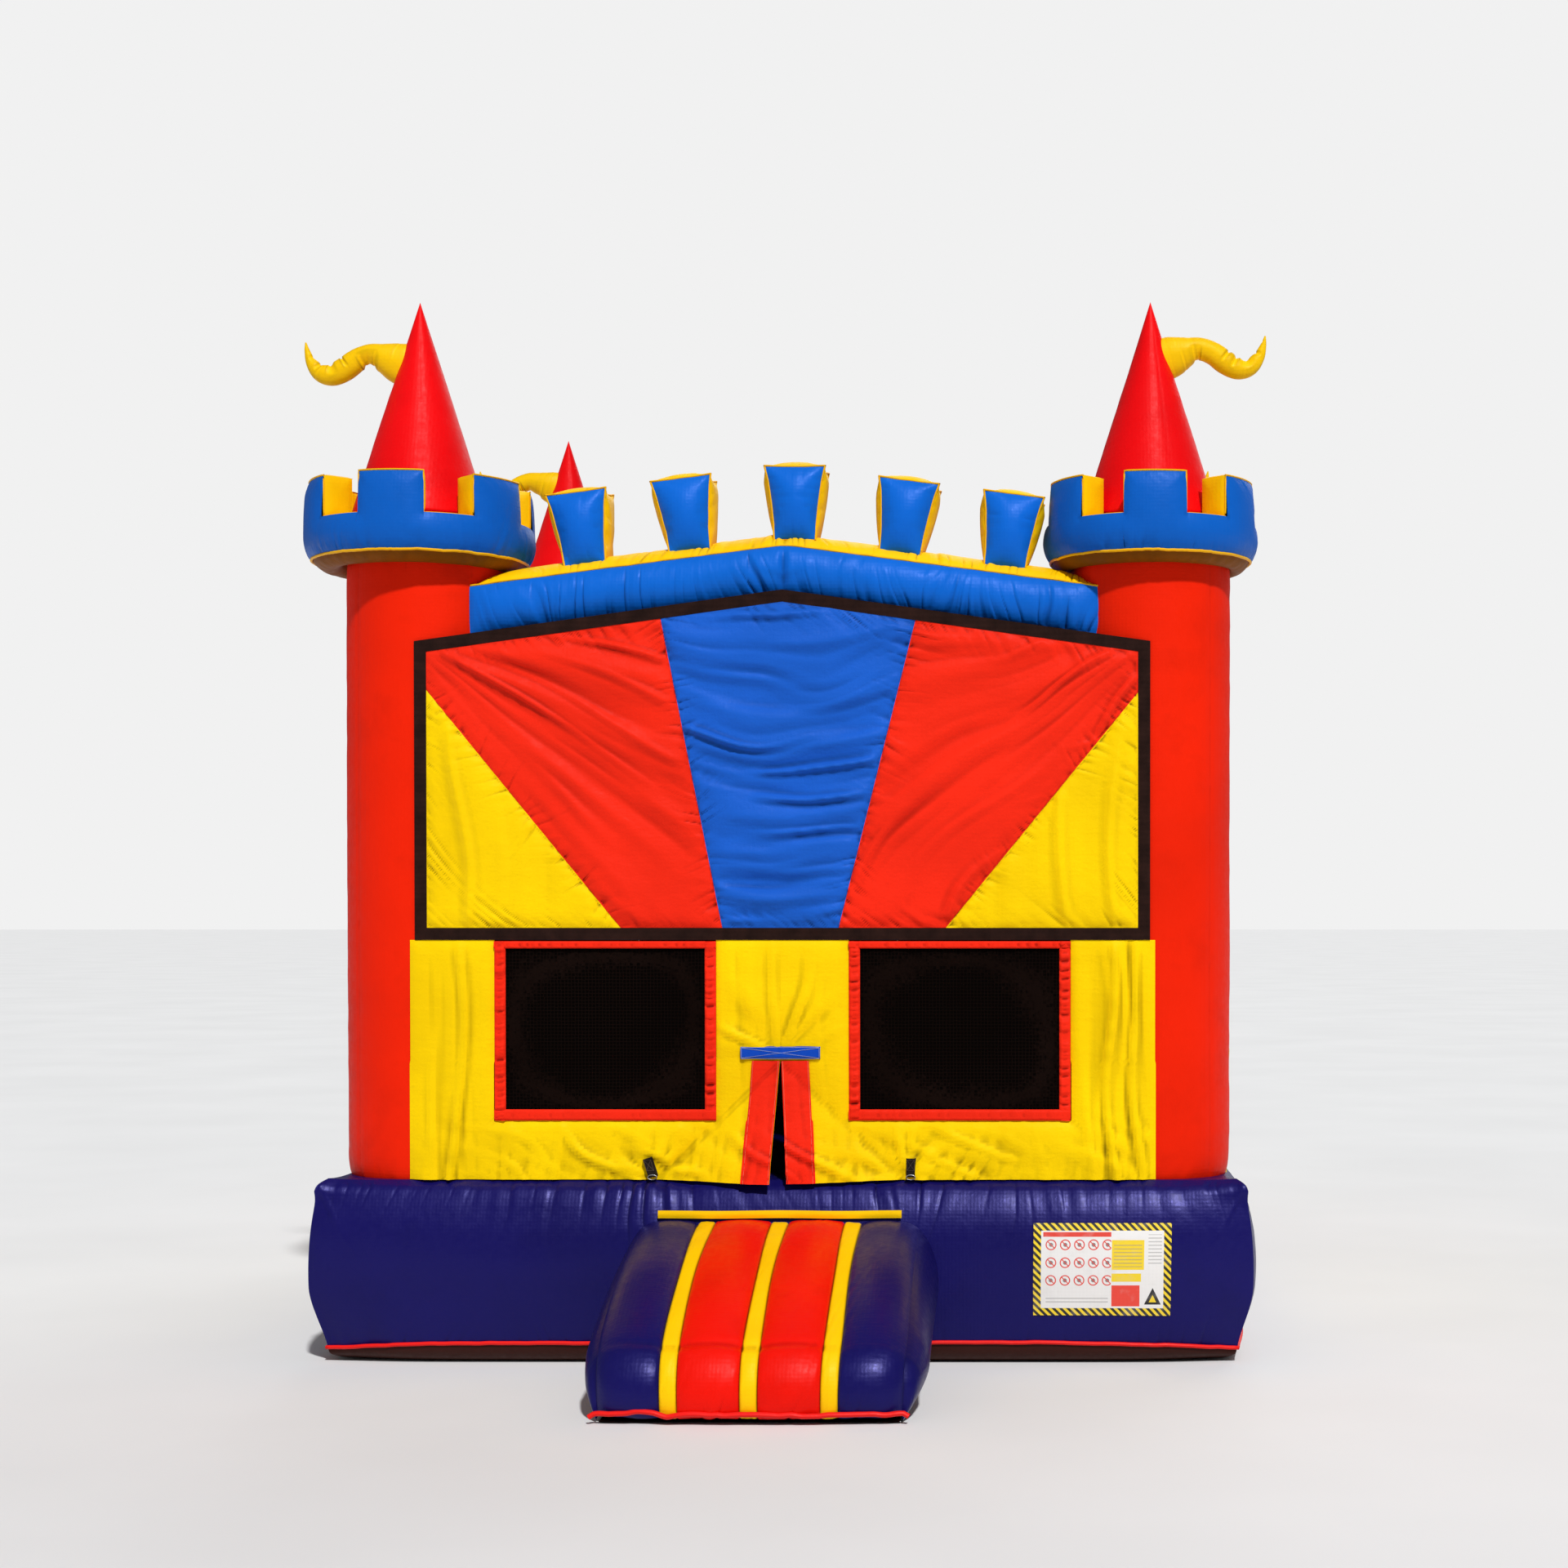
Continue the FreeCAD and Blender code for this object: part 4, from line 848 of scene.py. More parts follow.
def block_points(k, p, start_bulge):
    """Places unit-cube surface points on battlement block k; the start shape is a slightly crowned box."""
    cx = 0.040 + (k - 3) * 0.440
    lean = math.copysign(math.atan(0.13), cx) if abs(cx) > 0.2 else 0.0
    foot_z = 3.185 + 0.205 + 0.056 - 0.13 * abs(cx) - 0.020
    q = p.copy()
    for i, bulge in enumerate((0.08, 0.50, 0.16)):
        j, m = [a for a in range(3) if a != i]
        cap = ((1 - p[..., j] ** 2) * (1 - p[..., m] ** 2)) ** 0.85
        q[..., i] = p[..., i] * (1 + start_bulge * bulge * cap * (np.abs(p[..., i]) > 0.999))
        depth = 0.02 if i == 2 else 0.075
        q[..., i] *= (1 - depth * (1 - p[..., m] ** 2) * np.abs(p[..., j]) ** 8
                      - depth * (1 - p[..., j] ** 2) * np.abs(p[..., m]) ** 8)
    span = (0.11, 0.098, 0.156)
    for i in range(3):
        j, m = [a for a in range(3) if a != i]
        dj, dm = (1 - np.abs(p[..., j])) * span[j], (1 - np.abs(p[..., m])) * span[m]
        row = creases(p[..., m] * span[m] + 3 * k + i, dj, 0.034, 0.060, 300 + k)
        row = row * rise(dj, 0.006) * rise(dm, 0.03)
        col = creases(p[..., j] * span[j] + 5 * k + i, dm, 0.034, 0.060, 320 + k)
        col = col * rise(dm, 0.006) * rise(dj, 0.03)
        q[..., i] += np.sign(p[..., i]) * (np.abs(p[..., i]) > 0.999) * 0.0060 * (row + col) / span[i]
    zz = (q[..., 2] + 1) / 2
    x = q[..., 0] * (0.087 + 0.041 * zz)
    z = zz * 0.312
    c, s = math.cos(lean), math.sin(lean)
    return stack(cx + x * c + z * s, -1.620 + q[..., 1] * 0.098, foot_z - x * s + z * c)


def make_blocks():
    """The five battlement blocks: boxed panels inflated by cloth simulation, then piped along their seams."""
    n = BLOCK_STEPS
    made = []
    for k in range(1, 6):
        index, points, quads, slots = {}, [], [], []

        def vertex(p):
            key = tuple(int(round(c * n / 2 + n / 2)) for c in p)
            if key not in index:
                index[key] = len(points)
                points.append(p)
            return index[key]

        for axis in range(3):
            j, m = (axis + 1) % 3, (axis + 2) % 3
            for sign in (-1.0, 1.0):
                for u in range(n):
                    for v in range(n):
                        corner = []
                        for du, dv in ((0, 0), (1, 0), (1, 1), (0, 1)):
                            p = [0.0, 0.0, 0.0]
                            p[axis], p[j], p[m] = sign, 2 * (u + du) / n - 1, 2 * (v + dv) / n - 1
                            corner.append(vertex(tuple(p)))
                        quads.append(corner if sign > 0 else corner[::-1])
                        slots.append(0 if axis == 1 else 1)
        unit = np.array(points)
        mesh = bpy.data.meshes.new("keystone_skin_%d" % k)
        mesh.from_pydata(block_points(k, unit, 1.0).tolist(), [], quads)
        mesh.polygons.foreach_set("material_index", np.array(slots, np.int32))
        for material in (BLUE, YELLOW):
            mesh.materials.append(material)
        block = bpy.data.objects.new("keystone_skin_%d" % k, mesh)
        bpy.context.scene.collection.objects.link(block)
        made.append((k, block, unit, index))
    feet = [(block, np.nonzero(unit[:, 2] < -0.999)[0].tolist()) for _, block, unit, _ in made]
    inflate(feet, frames=14, pressure=3.0)
    for k, block, unit, index in made:
        co = coords(block)
        lines = []
        t = range(n + 1)
        for jy in (0, n):
            rim = [(0, jy, i) for i in t] + [(i, jy, n) for i in t][1:] + [(n, jy, n - i) for i in t][1:]
            lines.append(rim)
        for ix in (0, n):
            lines.append([(ix, i, n) for i in t])
        subdivide(block)
        block.data.polygons.foreach_set("use_smooth", [True] * len(block.data.polygons))
        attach(block, "castle")
        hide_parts("keystone_%d" % k)
        welt = Skin()
        for line in lines:
            path = co[[index[c] for c in line]]
            dense = np.linspace(0, len(path) - 1, 4 * len(path))
            path = np.stack([np.interp(dense, np.arange(len(path)), path[:, a]) for a in range(3)], axis=1)
            welt.tube(path, 0.0042, 0, 6)
        welt = welt.build("keystone_piping_%d" % k, [WELT_YELLOW])


# ---------------------------------------------------------------- front panels
def top_edge(x):
    """Height of the gabled top of a front or rear panel."""
    return 3.195 - 0.1398 * np.abs(x)


# the four seams between the rays, each from its top to its foot as (x, z)
RAYS = [((-1.465, 2.769), (-0.671, 1.795)), ((-0.505, 3.085), (-0.249, 1.794)),
        ((0.552, 3.067), (0.233, 1.794)), ((1.483, 2.781), (0.676, 1.793))]


def from_tape(x, z):
    """Distance from the inner edge of the loop tape."""
    return np.minimum(np.minimum(1.472 - np.abs(x), top_edge(x) - 0.052 - z), z - 1.797)


def ray_x(k, z):
    """Where seam k is at height z."""
    (x0, z0), (x1, z1) = RAYS[k]
    return x0 + (z - z0) * (x1 - x0) / (z1 - z0)


def ray_folds(x, z):
    """Height of the folds on the ray panel: swags on the blue ray, fans from the top corners on the red ones."""
    d = np.minimum.reduce([np.abs(x - ray_x(k, z)) * 0.94 for k in range(4)])
    edge = from_tape(x, z)
    swag = folds((z - 0.38 * x**2) / 0.070, x / 0.30 + 4, 401)
    fan_x = np.abs(x) - 1.72
    angle, reach = np.arctan2(3.12 - z, -fan_x), np.hypot(3.12 - z, fan_x)
    fan_left = folds(angle / 0.066 + 3, reach / 0.42, 411)
    fan_right = 0.92 * folds(angle / 0.074 + 17, reach / 0.42, 421)
    soft = 0.50 * folds(x / 0.115, z / 0.75, 431)
    band = sum((x > ray_x(k, z)).astype(int) for k in range(4))
    shape = np.choose(band, [soft, fan_left, swag, fan_right, soft])
    height = 0.0290 * np.maximum(shape + 0.75, 0)
    puckered = 0.009 * np.abs(creases(z + 3 * band, d, 0.036, 0.06, 441))
    puckered = puckered + 0.008 * np.abs(creases(x + z, edge, 0.05, 0.05, 451))
    return (height * (0.15 + 0.85 * rise(d, 0.035)) + puckered * rise(d, 0.006)) * rise(edge, 0.028)


def make_rays():
    """The five-ray panel, slack and held all round by the tape."""
    nx, nz = 230, 110
    x = np.linspace(-1.508, 1.508, nx)[:, None]
    v = np.linspace(0, 1, nz)[None, :]
    z = 1.760 + v * (top_edge(x) - 0.030 - 1.760)
    y = -1.8580 - ray_folds(x + 0 * z, z)
    skin = Skin()
    skin.grid(stack(x, y, z), 0)
    panel = skin.build("ray_panel", [YELLOW_PANEL, RED_PANEL, BLUE_PANEL], body=None)
    subdivide(panel)
    bm = bmesh.new()
    bm.from_mesh(panel.data)
    for (x0, z0), (x1, z1) in RAYS:
        geom = bm.verts[:] + bm.edges[:] + bm.faces[:]
        normal = (z1 - z0, 0.0, -(x1 - x0))
        bmesh.ops.bisect_plane(bm, geom=geom, plane_co=(x0, 0, z0), plane_no=normal, dist=1e-5)
    for f in bm.faces:
        c = f.calc_center_median()
        band = sum(c.x > ray_x(k, c.z) for k in range(4))
        f.material_index = (0, 1, 2, 1, 0)[band]
        f.smooth = True
    bm.to_mesh(panel.data)
    bm.free()
    co = coords(panel)
    edge = from_tape(co[:, 0], co[:, 2])
    free = rise(edge, 0.012) * (edge > 0)
    for k in range(4):
        (x0, z0), (x1, z1) = RAYS[k]
        length = math.hypot(x1 - x0, z1 - z0)
        off = ((co[:, 0] - x0) * (z1 - z0) - (co[:, 2] - z0) * (x1 - x0)) / length
        run = ((co[:, 0] - x0) * (x1 - x0) + (co[:, 2] - z0) * (z1 - z0)) / length
        d = np.abs(off)
        co[:, 1] -= 0.0100 * creases(run + 5 * k, d, 0.028, 0.055, 420 + k) * rise(d, 0.006) * free
        co[:, 1] += 0.0030 * np.exp(-(d / 0.005) ** 2)
    co[:, 1] -= 0.0095 * creases(co[:, 0] + co[:, 2], edge, 0.032, 0.055, 460) * free
    set_coords(panel, co)
    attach(panel, "castle")
    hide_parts("ray_yellow_left", "ray_red_left", "ray_blue_centre", "ray_red_right", "ray_yellow_right")


DOOR_X, DOOR_TOP, DOOR_FOOT = -0.007, 1.240, 0.762    # the slit, and the heights of its ends
SPREAD = 0.495           # from the slit to the foot of a flap's fold line
FOLD_LENGTH = math.hypot(SPREAD, DOOR_TOP - DOOR_FOOT)
WALL_Y = -1.856          # plane of the front wall
WALL_HALF = 1.545        # half width of a wall
WIN_IN, WIN_OUT, WIN_LOW, WIN_TOP = 0.275, 1.195, 0.995, 2.720    # a net window; the front ones end lower


def fold_off(x, z, side):
    """Signed distance from a door flap's fold line, positive on the flap."""
    fold_x = DOOR_X + side * (DOOR_TOP - z) * SPREAD / (DOOR_TOP - DOOR_FOOT)
    return side * (fold_x - x) * (DOOR_TOP - DOOR_FOOT) / FOLD_LENGTH


def flap_shape(x, z, side):
    """How far the door fabric stands off the wall plane, and how far its hem drops."""
    off = np.maximum(fold_off(x, z, side), 0)
    stand = (0.30 if side < 0 else 0.20) * off ** 1.15
    drop = 0.012 * ease(off / 0.3) * ease((1.0 - z) / 0.25)
    return stand, drop


def stops(*marks, step=0.014):
    """Coordinates that hit every mark, about a step apart."""
    out = []
    for a, b in zip(marks, marks[1:]):
        out += list(np.linspace(a, b, max(int(round((b - a) / step)), 1), endpoint=False))
    return np.array(out + [marks[-1]])


def wall_folds(x, z, seed, hem=0.752):
    """Set-in wrinkles of a hanging vinyl wall: long soft folds near its edges, hem puckers and diagonal pulls."""
    up = z - hem
    ax = np.abs(x)
    long = folds(x / 0.060 + 0.5 * z, z / 0.55, seed) * (0.40 + 1.15 * np.exp(-((ax - 1.43) / 0.13) ** 2))
    low = folds((x * 0.55 + z) / 0.075, (x - z) / 0.3, seed + 8) * np.exp(-((up - 0.10) / 0.11) ** 2)
    hemmed = np.abs(creases(x, up, 0.060, 0.11, seed + 2))
    low = low + 0.5 * np.exp(-((up - 0.10) / 0.11) ** 2)
    return 0.0155 * (long + 0.6) + 0.0145 * low + 0.0115 * hemmed


def front_surface(x, z, side):
    """Lower front wall at (x, z): its y and its hem height, with folds, tab pulls and the standing door flap."""
    ax = np.abs(x)
    stand, drop = flap_shape(x, z, side)
    inside = rise(np.minimum(1.745 - z, WALL_HALF - ax), 0.03)
    to_window = np.maximum(np.maximum(WIN_IN - ax, ax - WIN_OUT), WIN_LOW - z)
    inside = inside * rise(to_window, 0.02) * (0.5 + 0.5 * rise(np.abs(fold_off(x, z, side)), 0.03))
    y = WALL_Y - stand - (wall_folds(x, z, 500 if side < 0 else 520) + 0.004) * inside
    # pulls that fan out from the webbing tab
    tab = DOOR_X + side * 0.54
    reach, fan = np.hypot(x - tab, z - 0.79), np.arctan2(z - 0.77, x - tab)
    pull = folds(fan * 2.6, reach / 0.3, 540 + side) + 0.5
    y = y - 0.020 * pull * np.exp(-((reach - 0.11) / 0.10) ** 2) * inside
    # creases that fan up and out from the header
    reach, fan = np.hypot(x - DOOR_X, z - 1.26), np.arctan2(z - 1.26, np.abs(x - DOOR_X) + 0.01)
    over = ease((z - 1.24) / 0.06)
    pull = folds(fan * 3.0 + 2, reach / 0.4, 546 + side) + 0.5
    y = y - 0.014 * pull * np.exp(-((reach - 0.20) / 0.16) ** 2) * inside * over
    return y, z - drop * ease((1.05 - z) / 0.3)


def make_front_wall(side):
    """One half of the lower front wall with its window opening; the door flap bends out of it along the fold line."""
    word = "left" if side < 0 else "right"
    seam = 0.003
    x = stops(0.0, WIN_IN - DOOR_X * side, WIN_OUT - DOOR_X * side, WALL_HALF - DOOR_X * side)
    x = (DOOR_X + side * x)[:, None]
    z = stops(0.752, WIN_LOW, 1.745)[None, :]
    ax = np.abs(x)
    gape = 0.036 if side < 0 else 0.026
    below = np.clip((DOOR_TOP - z) / 0.478, 0, 1)
    near = ease(1 - (np.abs(x - DOOR_X)) / 0.42)
    X = x + side * (seam * (z < DOOR_TOP) + gape * below * near)
    y, Z = front_surface(X, z, side)
    cx, cz = (ax[:-1] + ax[1:]) / 2, (z[:, :-1] + z[:, 1:]) / 2
    keep = ~((cx > WIN_IN) & (cx < WIN_OUT) & (cz > WIN_LOW))
    skin = Skin()
    skin.grid(stack(X, y, Z), 0, flip=side < 0, keep=keep)
    wall = skin.build("front_wall_" + word, [YELLOW_PANEL], body=None)
    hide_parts("front_wall_lower", "door_flap_" + word)
    bend(wall, side)
    # red hem down the slit
    v = np.linspace(0, 1, 12)[:, None]
    w = stops(0.752, 1.245, step=0.010)[None, :]
    slit = DOOR_X + side * (seam + gape * np.clip((DOOR_TOP - w) / 0.478, 0, 1))
    hx = slit + side * v * (0.115 + 0.005 * (w < 1.0))
    hy, hz = front_surface(hx, w, side)
    hy = hy - 0.0090 - 0.0012 * np.sin(PI * v) - 0.0010 * noise(w / 0.02, v, 560)
    skin = Skin()
    skin.grid(stack(hx, hy, hz), 0, flip=side < 0)
    hem = skin.build("door_hem_red_" + word, [RED_PANEL], body=None)
    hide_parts("door_hem_" + word)
    bend(hem, side)
    skin = Skin()
    for at in (0.05, 0.93):
        ex = slit + side * at * 0.118
        ey, ez = front_surface(ex, w, side)
        skin.tube(stack(ex, ey - 0.0106, ez)[0], 0.0010, 0, 5)
    stitch = skin.build("door_hem_stitch_" + word, [THREAD_RED], body=None)
    bend(stitch, side)


def bend(obj, side):
    """Bakes the object's placement into its mesh."""
    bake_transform(obj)


def ribbon(skin, a, b, width, lift, ruffle, seed, step=0.006, quarter=0):
    """A sewn strip in the plane of a wall from a to b, both (x, z) on its centre line."""
    a, b = np.array(a, float), np.array(b, float)
    length = np.linalg.norm(b - a)
    d = (b - a) / length
    side = np.array([-d[1], d[0]])
    t = np.linspace(0, 1, max(int(length / step), 4))[:, None]
    v = np.linspace(-0.5, 0.5, 9)[None, :]
    x = a[0] + d[0] * t * length + side[0] * v * width
    z = a[1] + d[1] * t * length + side[1] * v * width
    at = t * length / 0.018 + 0.5 * noise(t * length / 0.09, 0, seed + 1) + 0.25 * v
    gathers = noise(at, 0, seed) + 0.7 * np.clip(1 - 3 * np.abs(noise(at + 3, 0, seed + 2)), 0, 1)
    y = -1.8565 - lift - 0.0015 * (1 - (2 * v) ** 6) - ruffle * gathers * (1 - (2 * v) ** 6)
    y = np.where(np.abs(v) > 0.499, -1.8565 - lift * 0.3, y)
    skin.grid(turn(stack(x, y, z), quarter), 0)


def window_spans():
    """(quarter turn, x0, x1, z0, z1) of every net window."""
    for sx in (-1, 1):
        x0, x1 = sorted((sx * WIN_IN, sx * WIN_OUT))
        yield 0, x0, x1, WIN_LOW, 1.740
        for quarter in (1, 2, 3):
            yield quarter, x0, x1, WIN_LOW, WIN_TOP


def make_windows():
    """Nets, and the gathered red frames sewn round them."""
    frames = Skin()
    for k, (quarter, x0, x1, z0, z1) in enumerate(window_spans()):
        w = 0.047
        for n, x in enumerate((x0 + w / 2, x1 - w / 2)):
            ribbon(frames, (x, z0), (x, z1), w, 0.008, 0.0085, 600 + 10 * k + n, step=0.005, quarter=quarter)
        top = 0.030 if quarter == 0 else w
        for z, wide, ruffle, seed in ((z0 + w / 2, w, 0.0022, 605), (z1 - top / 2, top, 0.0045, 606)):
            ribbon(frames, (x0, z), (x1, z), wide, 0.0105, ruffle, seed + 10 * k, quarter=quarter)
        u = np.linspace(0, 1, 40)[:, None]
        v = np.linspace(0, 1, 60)[None, :]
        net = Skin()
        x = x0 + 0.01 + u * (x1 - x0 - 0.02)
        z = z0 + 0.01 + v * (z1 - z0 - 0.02)
        belly = (4 * u * (1 - u)) ** 0.7 * (4 * v * (1 - v)) ** 0.7
        y = -1.8535 + 0.010 * belly + 0.003 * noise(x / 0.25, z / 0.3, 650 + k) * belly
        net.grid(turn(stack(x, y, z), quarter), 0)
        sheet = net.build("net_window_%d" % (k + 1), [NET])
        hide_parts("safety_nets")
    obj = frames.build("window_frames", [RED_PANEL])
    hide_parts("net_frames")


def make_tall_wall(name, quarter, gabled, seed):
    """Side or rear wall with openings for its two windows, tucked in under the beam above it."""
    x = stops(-WALL_HALF, -WIN_OUT, -WIN_IN, WIN_IN, WIN_OUT, WALL_HALF, step=0.022)[:, None]
    v = np.concatenate([np.linspace(0, 0.107, 12), np.linspace(0.107, 0.868, 70)[1:], np.linspace(0.868, 1, 14)[1:]])
    rows = 0.738 + v * (3.020 - 0.738)
    for height in (WIN_LOW, WIN_TOP):
        rows[np.argmin(np.abs(rows - height))] = height
    z = rows[None, :]
    top = (top_edge(x) - 0.004) if gabled else np.full_like(x, 3.02)
    Z = np.where(z > WIN_TOP, WIN_TOP + (z - WIN_TOP) / 0.30 * (top - WIN_TOP), z)
    ax = np.abs(x)
    in_x = np.minimum(ax - WIN_IN, WIN_OUT - ax)
    in_z = np.minimum(z - WIN_LOW, WIN_TOP - z)
    near = np.where((in_x > 0) & (in_z > 0), 0, np.maximum(-in_x, -in_z))
    y = WALL_Y - (0.62 * wall_folds(x, z, seed) + 0.004) * rise(near, 0.03) * rise(WALL_HALF - ax, 0.04)
    y = y + 0.070 * ease((v[None, :] - 0.962) / 0.038) * ease((1.27 - ax) / 0.06)
    y = y - 0.008 * ease((ax - 1.27) / 0.08)
    cx, cz = (x[:-1] + x[1:]) / 2, (z[:, :-1] + z[:, 1:]) / 2
    keep = ~((np.abs(cx) > WIN_IN) & (np.abs(cx) < WIN_OUT) & (cz > WIN_LOW) & (cz < WIN_TOP))
    skin = Skin()
    skin.grid(turn(stack(x, y, Z), quarter), 0, keep=keep)
    wall = skin.build(name + "_sheet", [YELLOW_PANEL])
    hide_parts(name)


def make_roof():
    """Roof sheet: two slopes that sag a little between the beams."""
    x = np.linspace(-1.44, 1.44, 120)[:, None]
    y = np.linspace(-1.44, 1.44, 120)[None, :]
    sag = (1 - (x / 1.44) ** 2) * (1 - (y / 1.44) ** 2)
    z = 3.245 - 0.13 * np.sqrt(x**2 + 0.0009) - 0.030 * sag * np.abs(x / 1.44 * 2).clip(0, 1)
    z = z + 0.006 * noise(x / 0.3, y / 0.2, 700) + 0.004 * creases(y, 1.44 - np.abs(x), 0.08, 0.3, 701)
    skin = Skin()
    skin.grid(stack(x, y, z), 0)
    roof = skin.build("roof_sheet", [BLUE_PANEL])
    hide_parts("roof_panel")


def make_small_front():
    """Door header with its stitching, and webbing tabs on the hem."""
    skin = Skin()
    ribbon(skin, (DOOR_X - 0.165, 1.2775), (DOOR_X + 0.165, 1.2775), 0.055, 0.024, 0.0015, 720, step=0.004)
    for (xa, za), (xb, zb) in (((-0.160, 0.023), (0.160, 0.023)), ((-0.160, -0.023), (0.160, -0.023)),
                               ((-0.160, 0.021), (0.160, -0.021)), ((-0.160, -0.021), (0.160, 0.021)),
                               ((-0.161, -0.023), (-0.161, 0.023)), ((0.161, -0.023), (0.161, 0.023))):
        t = np.linspace(0, 1, 60)
        line = stack(DOOR_X + xa + (xb - xa) * t, -1.8835 - 0.0006 * np.sin(t * 200), 1.2775 + za + (zb - za) * t)
        skin.tube(line, 0.0007, 1, 5)
    header = skin.build("door_header_strip", [HEADER, THREAD])
    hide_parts("door_header")
    tabs = Skin()
    for k, side in enumerate((-1, 1)):
        x = DOOR_X + side * 0.54
        lean = -0.012 if side < 0 else 0.0
        ribbon(tabs, (x + lean, 0.842), (x - lean, 0.764), 0.042, 0.040, 0.0005, 730 + k, step=0.004)
        for xa, za, xb, zb in ((-0.015, 0.836, 0.015, 0.836), (-0.015, 0.792, 0.015, 0.792),
                               (-0.015, 0.836, -0.015, 0.792), (0.015, 0.836, 0.015, 0.792),
                               (-0.015, 0.836, 0.015, 0.792), (0.015, 0.836, -0.015, 0.792)):
            t = np.linspace(0, 1, 24)
            shift = lean * (2 * (0.5 - (za + (zb - za) * t - 0.842) / -0.078))
            line = stack(x + xa + (xb - xa) * t + shift, -1.8990, za + (zb - za) * t)
            tabs.tube(line, 0.0006, 1, 5)
        loop = np.linspace(0, 2 * PI, 30, endpoint=False)
        ring = stack(x - lean + 0.019 * np.cos(loop), -1.898, 0.764 + 0.010 * np.sin(loop))
        tabs.tube(ring, 0.0022, 2, 6, closed=True)
    tabs = tabs.build("hem_tab_webbing", [WEB_BLACK, THREAD_DIM, ZINC])
    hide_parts("hem_tabs")


